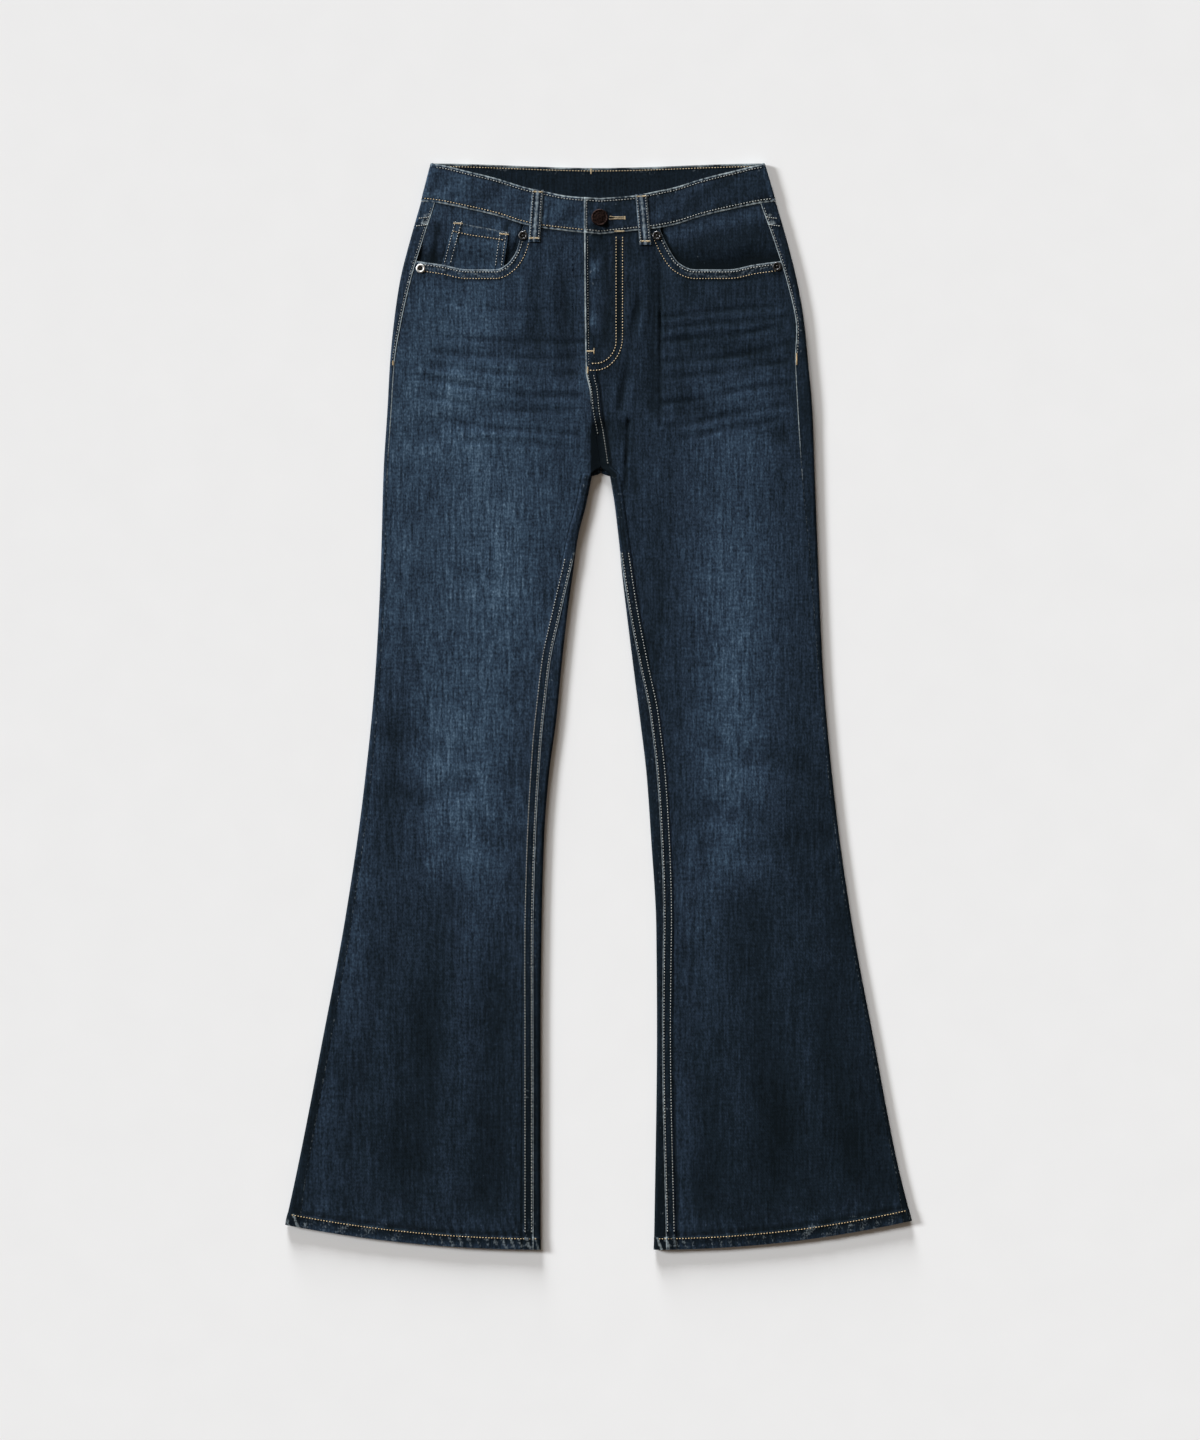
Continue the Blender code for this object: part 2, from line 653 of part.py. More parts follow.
def finish(bm, name, material):
    """Writes the mesh in metres as an object of its own, smooth but for its sharp edges."""
    bmesh.ops.scale(bm, vec=(0.001, 0.001, 0.001), verts=bm.verts)
    mesh = bpy.data.meshes.new(name)
    bm.to_mesh(mesh)
    bm.free()
    mesh.materials.append(material)
    mesh.shade_smooth()
    mesh.set_sharp_from_angle(angle=math.radians(50))
    obj = bpy.data.objects.new(name, mesh)
    bpy.context.scene.collection.objects.link(obj)
    return obj


def surface(name, colour, roughness, metallic):
    """A plain material from a colour, a roughness and a metallic value."""
    material = bpy.data.materials.new(name)
    material.use_nodes = True
    shader = material.node_tree.nodes["Principled BSDF"]
    shader.inputs["Base Color"].default_value = (*colour, 1)
    shader.inputs["Roughness"].default_value = roughness
    shader.inputs["Metallic"].default_value = metallic
    return material


for old in list(bpy.data.objects):
    bpy.data.objects.remove(old, do_unlink=True)

DENIM_FRONT = surface("Indigo denim, front", (0.035, 0.056, 0.090), 0.9, 0.0)
DENIM_BACK = surface("Indigo denim, back", (0.022, 0.034, 0.058), 0.9, 0.0)
DENIM_BAND = surface("Indigo denim, waistband", (0.028, 0.044, 0.070), 0.9, 0.0)
BUTTON_METAL = surface("Antique copper", (0.14, 0.075, 0.045), 0.4, 1.0)
RIVET_METAL = surface("Dark nickel", (0.20, 0.19, 0.18), 0.35, 1.0)

for leg in (-1, 1):
    build_front(leg)
    build_back(leg)
    build_yoke(leg)
    build_facing(leg)
    build_back_pocket(leg)
    build_front_loop(leg)
build_waistband()
build_coin_pocket()
for place, x in BACK_LOOPS.items():
    build_back_loop("belt_loop_back_" + place, x)
build_button()
for place, (leg, x, down) in RIVETS.items():
    build_rivet(place, leg, x, down)
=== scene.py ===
"""Bootcut jeans laid flat, front up: washed indigo denim with tan, grey and copper stitching.

Sizes are in millimetres until a mesh is finished, which is in metres. X runs to the viewer's
right, Y towards the waist and Z up from the table. "down" is the distance below the top of the
back waistband. A side is -1 for the wearer's right leg, on the viewer's left, and +1 for the left.
"""

import math

import bmesh
import bpy
import numpy as np
from mathutils import Matrix, Vector


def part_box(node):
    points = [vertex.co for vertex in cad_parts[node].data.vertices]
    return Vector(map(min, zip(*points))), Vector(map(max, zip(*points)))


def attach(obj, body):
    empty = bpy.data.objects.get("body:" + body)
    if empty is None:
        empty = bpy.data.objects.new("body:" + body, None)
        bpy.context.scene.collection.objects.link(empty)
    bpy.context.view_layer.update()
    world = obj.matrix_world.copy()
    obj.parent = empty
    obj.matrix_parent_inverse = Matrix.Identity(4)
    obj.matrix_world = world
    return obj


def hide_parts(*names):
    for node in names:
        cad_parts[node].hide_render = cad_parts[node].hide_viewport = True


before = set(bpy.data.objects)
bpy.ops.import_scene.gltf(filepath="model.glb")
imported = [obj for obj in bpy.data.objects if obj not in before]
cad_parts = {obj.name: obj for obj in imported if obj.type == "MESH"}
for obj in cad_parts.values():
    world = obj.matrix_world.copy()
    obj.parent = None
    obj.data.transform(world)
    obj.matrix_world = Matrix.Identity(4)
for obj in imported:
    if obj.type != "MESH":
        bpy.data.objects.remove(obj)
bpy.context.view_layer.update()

# The cut, as the solids have it. Lifts and rises are measured off the cloth or the table.
LENGTH = 1065.0
SEAM_GAP = 0.3
DENIM = 1.2
BAND_WALL = 2.0
BAND_RAISE = 0.6
BAND_DEPTH = 37.2
BAND_MIDDLE = 18.0
PATCH_WALL = 1.0
SEAT_RISE = 1.3
FELL_WIDTH = 10.0
FELL_RAISE = 0.5
HEM_DEPTH = 12.0
HEM_RAISE = 0.6
HEM_TURNING = 1.0
HEM_RISE = {-1: 24.5, 1: 28.5}
HEM_OUTSIDE, HEM_INSIDE = 1025.0, 1060.0
WAIST_CENTRE = 1.5
LAP_END = -14.2
UNDERLAP_END = 16.0
LAP_RISE = 1.2
LAP_SINK = BAND_WALL + SEAM_GAP - LAP_RISE
HIP = 140.0
SEAT = 255.0
FORK_TOP, FORK = 297.0, 306.0
YOKE_AT_SIDE, YOKE_AT_BACK = 58.0, 100.0
MOUTH_LAP = 3.2
FACING_SINK = DENIM + 0.4
LOOP_WIDTH = 11.0
LOOP_TAIL = 15.0
BACK_SAG = 4.4
FLY_END = 204.0
STITCH_PITCH = 2.85  # from needle hole to needle hole on the topstitching, 9 to the inch
FAR = 99.0  # the distance from a seam that isn't near
DEEP_SHADE = -0.25  # the wash of cloth that lies in the dark under a fold
NAME = {-1: "right", 1: "left"}


class Table:
    """Rows of numbers with named columns, read along a smooth line through the first column."""

    def __init__(self, columns, rows):
        self.names = columns.split()
        self.values = np.array(rows, dtype=float)

    def at(self, name, place):
        """A column's value at a place in the first column, without overshoot between the rows."""
        x, y = self.values[:, 0], self.values[:, self.names.index(name)]
        slope = np.diff(y) / np.diff(x)
        flat = slope[1:] * slope[:-1] <= 0
        middle = np.where(flat, 0, 2 * slope[1:] * slope[:-1] / np.where(flat, 1, slope[1:] + slope[:-1]))
        tangent = np.concatenate(([slope[0]], middle, [slope[-1]]))
        place = np.clip(place, x[0], x[-1])
        k = np.clip(np.searchsorted(x, place) - 1, 0, len(x) - 2)
        width = x[k + 1] - x[k]
        t = (place - x[k]) / width
        ends = y[k] * (1 + 2 * t) * (1 - t) ** 2 + y[k + 1] * t * t * (3 - 2 * t)
        return ends + width * (tangent[k] * t * (1 - t) ** 2 - tangent[k + 1] * t * t * (1 - t))


OUTSIDE = Table(
    "down  right  left   right_seam  left_seam",
    (
        (0, 164.2, 162.7, 12.0, 12.0),
        (38, 174.1, 173.9, 14.0, 15.6),
        (75, 184.6, 184.6, 12.6, 13.1),
        (115, 194.6, 194.6, 10.6, 10.4),
        (155, 200.5, 201.6, 7.4, 8.4),
        (195, 204.4, 205.5, 4.6, 12.9),
        (240, 206.9, 209.6, 4.2, 14.7),
        (300, 210.7, 211.9, 4.2, 13.1),
        (400, 213.7, 215.7, 4.6, 7.6),
        (500, 218.9, 220.3, 5.1, 4.9),
        (620, 230.9, 231.3, 6.3, 4.1),
        (740, 248.4, 247.9, 7.2, 3.8),
        (860, 270.8, 270.1, 8.5, 3.8),
        (980, 294.1, 293.1, 9.8, 3.8),
        (1041, 307.2, 308.3, 14.0, 9.0),
    ),
)
INSIDE = Table(
    "down  right  left   right_seam  left_seam",
    (
        (304, 6.4, 11.3, -1.7, -1.7),
        (335, 12.7, 16.4, -1.6, -1.6),
        (364, 19.8, 19.6, -0.6, -0.8),
        (400, 24.8, 22.8, 2.6, 1.0),
        (440, 30.3, 27.5, 6.4, 2.6),
        (490, 35.9, 33.7, 11.4, 6.1),
        (545, 41.3, 40.7, 12.4, 10.1),
        (600, 48.6, 47.2, 9.5, 9.9),
        (660, 53.2, 51.4, 8.1, 9.5),
        (750, 55.8, 56.6, 7.9, 6.6),
        (850, 56.8, 57.3, 6.9, 4.9),
        (1065, 56.8, 54.4, 6.8, 11.8),
    ),
)
CENTRE = Table(
    "down  front  back",
    (
        (0, -13.5, 0),
        (60, -14.2, 0),
        (204, -12.7, 0),
        (222, -9.0, 0),
        (243, -6.9, 0.5),
        (263, -3.1, 1.5),
        (280, -0.5, 2.2),
        (301, 2.5, 2.5),
    ),
)
WAIST = Table(
    "across  top   seam",
    (
        (0, 34.6, 70.0),
        (33, 32.0, 66.6),
        (54, 27.8, 64.2),
        (72, 24.0, 60.8),
        (101, 15.1, 51.9),
        (130, 7.9, 45.1),
        (160, 1.2, 39.2),
        (178, 0.0, BAND_DEPTH),
    ),
)
MOUTH = Table(
    "knot  right  left   down",
    (
        (0, 0.000, 0.000, 96.0),
        (1, 0.157, 0.140, 99.5),
        (2, 0.320, 0.277, 104.2),
        (3, 0.477, 0.440, 104.2),
        (4, 0.549, 0.518, 98.0),
        (5, 0.594, 0.561, 83.3),
        (6, 0.608, 0.588, 67.4),
        (7, 0.613, 0.594, 61.8),
    ),
)
HEIGHT = Table("down  height", ((0, 6.6), (70, 6.6), (200, 6.8), (300, 6.4), (420, 6.0), (1065, 5.6)))

# Creases of the front, as soft troughs from one point to another. The first seven are broad
# folds, which the solids have too, and the rest are fine ones with a low ridge beside them.
CREASES = Table(
    "crease  x_from  down_from  x_to  down_to  sag  half_width  depth",
    (
        (0, 2, 262, 3, 312, 0, 9, 2.2),
        (1, 60, 96, 56, 240, 0, 8, 1.1),
        (2, 28, 256, 34, 318, 0, 8, 0.9),
        (3, -150, 190, -60, 176, 0, 11, 0.6),
        (4, -172, 262, -70, 236, 0, 12, 0.7),
        (5, 84, 176, 168, 192, 0, 11, 0.6),
        (6, 86, 240, 178, 268, 0, 12, 0.7),
        # fine folds that run out from the fork and the pockets
        (7, 61, 96, 60.5, 258, 0, 1.5, 1.3),
        (8, 40, 132, 22, 240, -3, 4, 0.8),
        (9, 29.6, 252, 26, 318, 0, 1.8, 1),
        (10, -34, 96, -30, 210, 0, 9, 0.6),
        (11, -58, 96, -62, 168, 0, 7, 0.5),
        # whiskers across the right hip, which sag a little
        (12, -157, 134, -38, 146, 3, 2.8, 0.34),
        (13, -160, 167, -16, 175, 4, 2.8, 0.42),
        (14, -163, 183, -18, 189, 5, 2.6, 0.38),
        (15, -167, 197, -23, 206, 5, 2.8, 0.4),
        (16, -175, 210, -20, 229, 4, 3.2, 0.52),
        (17, -165, 230, -23, 244, 4, 2.8, 0.38),
        (18, -155, 251, -20, 267, 2, 3.2, 0.46),
        (19, -141, 271, -38, 277, 0, 3.4, 0.3),
        # whiskers across the left hip, which rise towards the side
        (20, 62, 150, 183, 138, 1, 2.8, 0.4),
        (21, 62, 161, 183, 151, 1, 2.6, 0.36),
        (22, 64, 175, 180, 159, 2, 2.8, 0.48),
        (23, 64, 196, 186, 178, 2, 3, 0.48),
        (24, 64, 211, 183, 195, 1, 2.6, 0.38),
        (25, 64, 235, 186, 215, 1, 3, 0.5),
        (26, 68, 258, 183, 236, 1, 3, 0.44),
        (27, 84, 269, 178, 250, 1, 3, 0.38),
        # slack at the knees
        (28, -198, 560, -120, 580, 3, 11, 0.4),
        (29, -206, 622, -132, 612, 3, 12, 0.45),
        (30, -120, 650, -66, 668, 3, 10, 0.35),
        (31, 112, 570, 196, 588, 3, 12, 0.4),
        (32, 84, 628, 158, 640, 3, 12, 0.4),
        (33, 150, 668, 226, 654, 3, 12, 0.35),
        # long soft drapes down the flares
        (34, -150, 720, -190, 980, 4, 22, 0.55),
        (35, -96, 760, -110, 1010, 4, 18, 0.4),
        (36, 148, 740, 186, 1000, 4, 22, 0.5),
        (37, 92, 780, 104, 1020, 4, 18, 0.4),
        (38, 212, 800, 250, 985, 4, 14, 0.4),
        (39, -214, 780, -246, 960, 4, 14, 0.4),
        # waistband
        (40, -166, 14, -146, 22, 1, 4, 0.35),
        (41, -158, 26, -138, 34, 1, 4, 0.3),
        (42, 136, 16, 158, 12, 1, 4, 0.3),
    ),
)

LAST_BROAD_CREASE = 6

# How pale the washing has left each leg, from 0 for raw indigo to 1 for bleached.
WASHED = Table(
    "down  right  left",
    (
        (0, 0.40, 0.25),
        (60, 0.38, 0.24),
        (150, 0.40, 0.27),
        (300, 0.44, 0.31),
        (420, 0.45, 0.32),
        (600, 0.36, 0.26),
        (700, 0.32, 0.24),
        (800, 0.26, 0.22),
        (950, 0.18, 0.15),
        (1065, 0.19, 0.11),
    ),
)
# Soft patches that are paler or darker: middle and radii, across and along the leg.
FADES = Table(
    "patch  x   down  across  along  strength",
    (
        (0, -98, 392, 34, 120, 0.12),
        (1, -150, 380, 70, 150, 0.05),
        (2, -128, 150, 46, 56, 0.15),
        (3, -50, 160, 42, 60, -0.13),
        (4, -145, 250, 60, 70, 0.17),
        (5, -142, 606, 42, 105, 0.23),
        (6, -90, 720, 26, 120, 0.04),
        (7, -236, 800, 18, 200, 0.09),
        (8, -272, 940, 14, 90, 0.16),
        (9, 128, 432, 44, 130, 0.24),
        (10, 132, 604, 36, 100, 0.23),
        (11, 90, 720, 24, 100, 0.12),
        (12, 80, 950, 22, 140, 0.16),
        (13, 139, 250, 50, 60, 0.16),
        (14, 237, 800, 26, 160, -0.08),
        (15, -200, 600, 24, 120, -0.11),
        (16, 190, 600, 24, 110, -0.04),
        (17, 58, 440, 26, 90, -0.10),
        (18, 198, 200, 24, 160, -0.06),
        (19, 264, 960, 14, 90, -0.08),
    ),
)


def smooth(low, high, value):
    """0 below low, 1 above high, and a soft step between them."""
    t = np.clip((value - low) / (high - low), 0.0, 1.0)
    return t * t * (3 - 2 * t)


def mix(first, second, share):
    """The value at a share of the way from the first to the second."""
    return first + (second - first) * share


def uneven(value, seed):
    """A smooth line between -1 and 1 that doesn't repeat."""
    slow = np.sin(value * 0.427 + seed)
    return (np.sin(value + seed * 1.7) + np.sin(value * 1.618 + seed * 2.9) + slow) / 3


def beside(distance, offset, width):
    """1 at an offset from a line, fading out on both sides of it."""
    return np.exp(-(((distance - offset) / width) ** 2))


def spots(x, down, height):
    """Points at a distance across, down from the back waistband and up from the table."""
    return np.stack(np.broadcast_arrays(x, LENGTH / 2 - down, height), axis=-1)


def outer_edge(side, down):
    """Where a leg's outer edge lies, across."""
    return side * OUTSIDE.at(NAME[side], down)


def inner_edge(side, down):
    """Where a leg's inner edge lies, across."""
    return side * INSIDE.at(NAME[side], down)


def parted(down):
    """0 above the fork, where the two legs are one, and 1 below it."""
    return smooth(FORK_TOP, FORK, down)


def floor(down):
    """Height of the underside, which the thick seat seam holds off the table a little."""
    return SEAT_RISE * (1 - smooth(244, 264, down))


def edge_radius(down):
    """Radius of the rounded edges, half as high as the cloth lies."""
    return (HEIGHT.at("height", down) - floor(down)) / 2


def crease_depth(x, down):
    """How far the creases sink the upper side here, with a low ridge beside each."""
    depth = np.zeros(np.broadcast(x, down).shape)
    for number, x0, down0, x1, down1, sag, half_width, deepest in CREASES.values:
        along_x, along_down = x1 - x0, down1 - down0
        t = ((x - x0) * along_x + (down - down0) * along_down) / (along_x**2 + along_down**2)
        t = np.clip(t, 0, 1)
        fine = number > LAST_BROAD_CREASE
        bend = sag * 4 * t * (1 - t) + fine * half_width * 0.35 * np.sin(t * 7.1 + number)
        off = np.hypot(x - x0 - t * along_x, down - bend - down0 - t * along_down) / half_width
        ridge = fine * 0.35 * np.exp(-((off - 1.9) ** 2))
        strength = deepest * (1 + fine * 0.3 * np.sin(t * 9.7 + number * 2.3))
        depth += strength * (np.exp(-(off**2)) - ridge)
    return depth


def placket(from_edge, down):
    """How far the zip under the fly lifts the cloth over it, fading out towards the double row."""
    return FELL_RAISE * (1 - smooth(6, 17, from_edge)) * (1 - smooth(FLY_END - 6, FLY_END + 4, down))


def slackness(x, down):
    """Low, broad unevenness of cloth that has been smoothed out by hand."""
    return 0.22 * uneven(x / 23 + down / 61, 1) + 0.16 * uneven(down / 29 - x / 41, 2)


def lap(side, x, down):
    """How the left front rises over the right one at the fly, and the right one gives way."""
    above_fly_end = 1 - smooth(188, 226, down)
    if side > 0:
        return LAP_RISE * (1 - smooth(UNDERLAP_END + 3, 62, x)) * above_fly_end
    return -0.5 * smooth(-44, LAP_END - 4, x) * above_fly_end


def top(side, x, down):
    """Height of the upper side, before anything is raised on it."""
    edge = np.abs(outer_edge(side, down)) - np.abs(x)
    inner = np.where(down > FORK, np.abs(x) - np.abs(inner_edge(side, down)), 30)
    slack = smooth(2, 14, np.minimum(edge, inner)) * slackness(x, down)
    return HEIGHT.at("height", down) - crease_depth(x, down) + slack + lap(side, x, down)


def round_edge(side, edge, inward, path, down):
    """Points of the tube's section near an edge: x, height and outward direction, x and up.

    The path is measured round the edge from where the upper side starts to curve: positive on
    the upper side, negative round the edge and under it.
    """
    radius = edge_radius(down)
    angle = np.clip(-path / radius, 0, math.pi)
    out, up = -inward * np.sin(angle), np.cos(angle)
    x = edge + inward * radius + radius * out
    x = x + inward * np.maximum(path, 0) + inward * np.maximum(-path - math.pi * radius, 0)
    height = np.where(path >= 0, top(side, x, down), floor(down) + radius * (1 + up))
    return np.stack(np.broadcast_arrays(x, height, out, up), axis=-1)


def facing_floor(x):
    """The outward direction, across and up, of cloth that faces the table."""
    return np.stack((0 * x, 0 * x - 1), axis=-1)


def flat_points(x, height, up):
    """Points of the section where it is flat: x, height and outward direction, x and up."""
    return np.stack(np.broadcast_arrays(x, height, 0.0, up), axis=-1)


def across(side, x, down):
    """The fraction of the way from a leg's outer edge to its inner edge or to the middle."""
    inner = mix(0.0, inner_edge(side, down), parted(down))
    outer = outer_edge(side, down)
    return np.clip((x - outer) / (inner - outer), 0, 1)


def hem_line(side, row, x):
    """How far down a row runs, which follows the hem's rise towards the outer edge."""
    rise = HEM_RISE[side] * smooth(880, LENGTH, row)
    return row - rise * (1 - across(side, x, row - rise)) ** 2


def waist_seam(x):
    """Where the waistband is sewn to the fronts."""
    return WAIST.at("seam", np.abs(x - WAIST_CENTRE))


def waist_top(x):
    """Where the waistband's top edge lies in front."""
    return WAIST.at("top", np.abs(x - WAIST_CENTRE))


def back_sag(x):
    """How far the top of the back waistband hangs down in the middle."""
    return BACK_SAG * (1 - smooth(0, 165, np.abs(x)))


def yoke_seam(share):
    """How far down the yoke's seam runs, from the side to the middle of the back."""
    return mix(YOKE_AT_SIDE, YOKE_AT_BACK, share)


def outseam(side, down):
    """Where the outseam runs on top, inside the outer edge."""
    return outer_edge(side, down) - side * OUTSIDE.at(NAME[side] + "_seam", down)


def inseam_path(side, down):
    """How far the inseam lies from where the inner edge starts to curve, along the cloth."""
    return INSIDE.at(NAME[side] + "_seam", down) - edge_radius(down)


def mouth_down(side, share):
    """The pocket mouth's curve, by the fraction of the way from the outseam to the middle."""
    knots = np.linspace(0, 7, 141)
    return np.interp(share, MOUTH.at(NAME[side], knots), MOUTH.at("down", knots))


def grid_of(section, place):
    """Points of a grid whose section gives x, height and direction, and whose rows curve with x."""
    down = place(0.0)
    for _ in range(5):
        made = section(down)
        down = place(made[..., 0])
    made = section(down)
    return spots(made[..., 0], down, made[..., 1]), made[..., 2:], down


def front_section(side, share, from_seam):
    """Section of a front panel: by the fraction of its width, or by the path from its inner seam.

    Above the fork it is one flat stretch, and below it goes round the leg's inner edge.
    """

    def section(down):
        start = outseam(side, down) - side * SEAM_GAP / 2
        middle = CENTRE.at("front", down) + side * SEAM_GAP / 2
        width = np.abs(middle - start)
        path = np.where(np.isnan(from_seam), share * width, width - from_seam)
        whole_x = start - side * path
        whole = flat_points(whole_x, top(side, whole_x, down), 1.0)
        edge, radius = inner_edge(side, down), edge_radius(down)
        seam = inseam_path(side, down) + SEAM_GAP / 2
        length = np.abs(edge + side * radius - start) - seam
        path = np.where(np.isnan(from_seam), share * length, length - from_seam)
        split = round_edge(side, edge, side, seam + length - path, down)
        return mix(whole, split, parted(down)[..., None])

    return section


# Distances of a front panel's last columns from its inner seam, close at the felled edge.
SEAM_STEPS = (12.0, 10.6, 10.1, 9.6, 8.2, 6.4, 4.6, 3.2, 2.4, 1.8, 0.9, 0.35, 0.0)
MOUTH_COLUMNS = 43


def front_columns(side):
    """Columns of a front panel: close at the pocket's end and along the inner seam."""
    mouth = MOUTH.at(NAME[side], np.linspace(0, 7, MOUTH_COLUMNS + 1))
    plain = np.linspace(mouth[-1], 0.94, 40)[1:]
    share = np.concatenate((mouth, plain, np.full(len(SEAM_STEPS), np.nan)))
    from_seam = np.concatenate((np.full(len(mouth) + len(plain), np.nan), SEAM_STEPS))
    return share, from_seam


def leg_rows(first, step):
    """Rows from first to the hem, close above the fork and closer at the turn of the hem."""
    hem_turn = LENGTH - HEM_DEPTH
    rows = [*np.arange(first, FORK_TOP - 8, 2.4), *np.arange(FORK_TOP - 8, FORK + 12, 1.6)]
    rows += [*np.arange(FORK + 12, hem_turn - 2, step)]
    below = (-1.6, -0.9, -0.3, 0.3, 2, 4, 6, 8, 9.8, 11.2, 12)
    return np.array(rows + [hem_turn + extra for extra in below])


def front_grid(side):
    """Points of a front panel, whose top rows follow the pocket's mouth and the waist seam."""
    share, from_seam = front_columns(side)
    levels = leg_rows(HIP, 3.6)
    ease = np.array((0, 0.7, 1.6, 3.2, *np.linspace(5, HIP - 100, 12)[:-1])) / (HIP - 100)
    level = np.concatenate((np.full(len(ease), np.nan), levels))[:, None]
    ease = np.concatenate((ease, np.ones(len(levels))))[:, None]
    in_mouth = np.arange(len(share)) < MOUTH_COLUMNS

    def place(x):
        start = np.where(in_mouth, mouth_down(side, np.nan_to_num(share)), waist_seam(x) + SEAM_GAP / 2)
        upper = mix(start, HIP, ease)
        return np.where(np.isnan(level), upper, hem_line(side, np.nan_to_num(level, nan=HIP), x))

    points, out, down = grid_of(front_section(side, share, from_seam), place)
    return points, out, down, np.nan_to_num(level, nan=90.0), from_seam


def washed_and_shaded(side, x, down):
    """How pale the cloth is here: its soft patches, painted shade in the bottoms of its creases and just
    below the waist seam, and a little painted light on the ridges beside the fine creases.
    """
    pale = WASHED.at(NAME[side], down) + 0 * x
    for _, x0, down0, wide, long, strength in FADES.values:
        pale += strength * np.exp(-(((x - x0) / wide) ** 2) - ((down - down0) / long) ** 2)
    pale += 0.03 * uneven(x / 9 + down / 90, 4) + 0.02 * uneven(down / 17 + x / 60, 5)
    # Painted shade: crease bottoms darkened, and the low ridges beside the fine creases come out a little
    # lighter.
    pale -= 0.16 * np.clip(crease_depth(x, down), -0.3, 1.2) * smooth(90, 110, down)
    # Painted shade in a thin line just below the waist seam.
    return pale - 0.16 * beside(down - waist_seam(x), 0.5, 2.5)


def pucker(along, pitch, seed):
    """Puckers along a sewn edge, uneven in pitch and depth, from 0 in the dips to 1 on the ridges."""
    phase = along / pitch * 2 * math.pi + 2.4 * uneven(along / 31, seed)
    return (0.5 + 0.5 * np.sin(phase)) * (0.8 + 0.2 * uneven(along / 13, seed + 3))


def hem_share(level):
    """1 in the turned hem, 0 above it."""
    return smooth(LENGTH - HEM_DEPTH - 0.7, LENGTH - HEM_DEPTH + 0.3, level)


def roping(side, x, level):
    """The slanting ridges into which a hem twists when it is washed, from 0 to about 1."""
    return pucker(x + (LENGTH - level) * 0.35, 8.5, 9 + side) * (0.85 + 0.3 * uneven(x / 11, 5))


def fell_effects(side, down, level, from_end):
    """Lift, wash_and_shade and wear_and_highlight of the felled seam on a front panel's inner edge, with
    painted shade in the groove beside its edge.
    """
    felled = (level > FORK) if side < 0 else smooth(FLY_END - 2, FLY_END + 3, down)
    step = (1 - smooth(FELL_WIDTH - 0.6, FELL_WIDTH + 0.4, from_end)) * felled
    ridge = pucker(down, 7.5, 3 + side)
    lift = step * (FELL_RAISE + 0.22 * (ridge - 0.5) * smooth(0, 1.5, from_end))
    lift = lift - 0.25 * beside(from_end, 10.9, 0.8) * felled
    rows = 0.24 * (beside(from_end, 3.6, 1.2) + beside(from_end, 6.8, 1.2))
    # Painted shade in the groove just past the fell's edge; the cloth is also darker near the stitch rows.
    wash_and_shade = -(0.22 * beside(from_end, 11.6, 1.6) + rows) * felled
    wear_and_highlight = 0.62 * beside(from_end, 0, 0.9) * (level > 380)
    return lift, wash_and_shade, wear_and_highlight + 0.34 * ridge * step * (0.6 + 0.4 * uneven(down / 19, 6))


def hem_effects(side, x, level):
    """Lift, wash and wear of a front panel's hem, and of the cloth that it draws in above it."""
    turned_up, roped = hem_share(level), roping(side, x, level)
    near = smooth(LENGTH - 60, LENGTH - HEM_DEPTH, level) * (1 - turned_up)
    lift = (HEM_RAISE + 0.7 * (roped - 0.5)) * turned_up + 0.30 * (roped - 0.5) * near**2
    lift = lift - 0.5 * smooth(LENGTH - 2.2, LENGTH, level)
    wash_and_shade = (0.32 * beside(level, LENGTH, 3.5) - 0.04) * turned_up + 0.25 * roped * near**3
    wash_and_shade = wash_and_shade - 0.2 * beside(level, LENGTH - HEM_DEPTH - 3, 2.2)
    return lift, wash_and_shade, (0.05 + 0.40 * roped) * turned_up + 0.2 * roped * near**3


def mouth_effects(x, down):
    """Lift, wash_and_shade and wear_and_highlight of the turned edge along the pocket's mouth: painted
    shade in the groove past its band, and a painted highlight on its rubbed edge.
    """
    from_mouth = np.full_like(x, FAR)
    from_mouth[:, :MOUTH_COLUMNS] = (down - down[:1])[:, :MOUTH_COLUMNS]
    lift = 0.25 * (1 - smooth(8.4, 9.6, from_mouth)) * smooth(0, 0.9, from_mouth)
    lift = lift - 0.22 * beside(from_mouth, 9.6, 1.0)
    # Painted shade in the groove past the mouth's band; the cloth is also darker by the first row.
    wash_and_shade = -0.14 * beside(from_mouth, 10.6, 1.3) - 0.10 * beside(from_mouth, 3.6, 0.9)
    wear_and_highlight = (1 - smooth(7.6, 9.2, from_mouth)) * (0.12 + 0.30 * pucker(x + down, 6.5, 2))
    # The mouth's edge: rubbed pale, with a painted highlight over it.
    return lift, wash_and_shade, wear_and_highlight + 0.40 * beside(from_mouth, 0.4, 0.9)


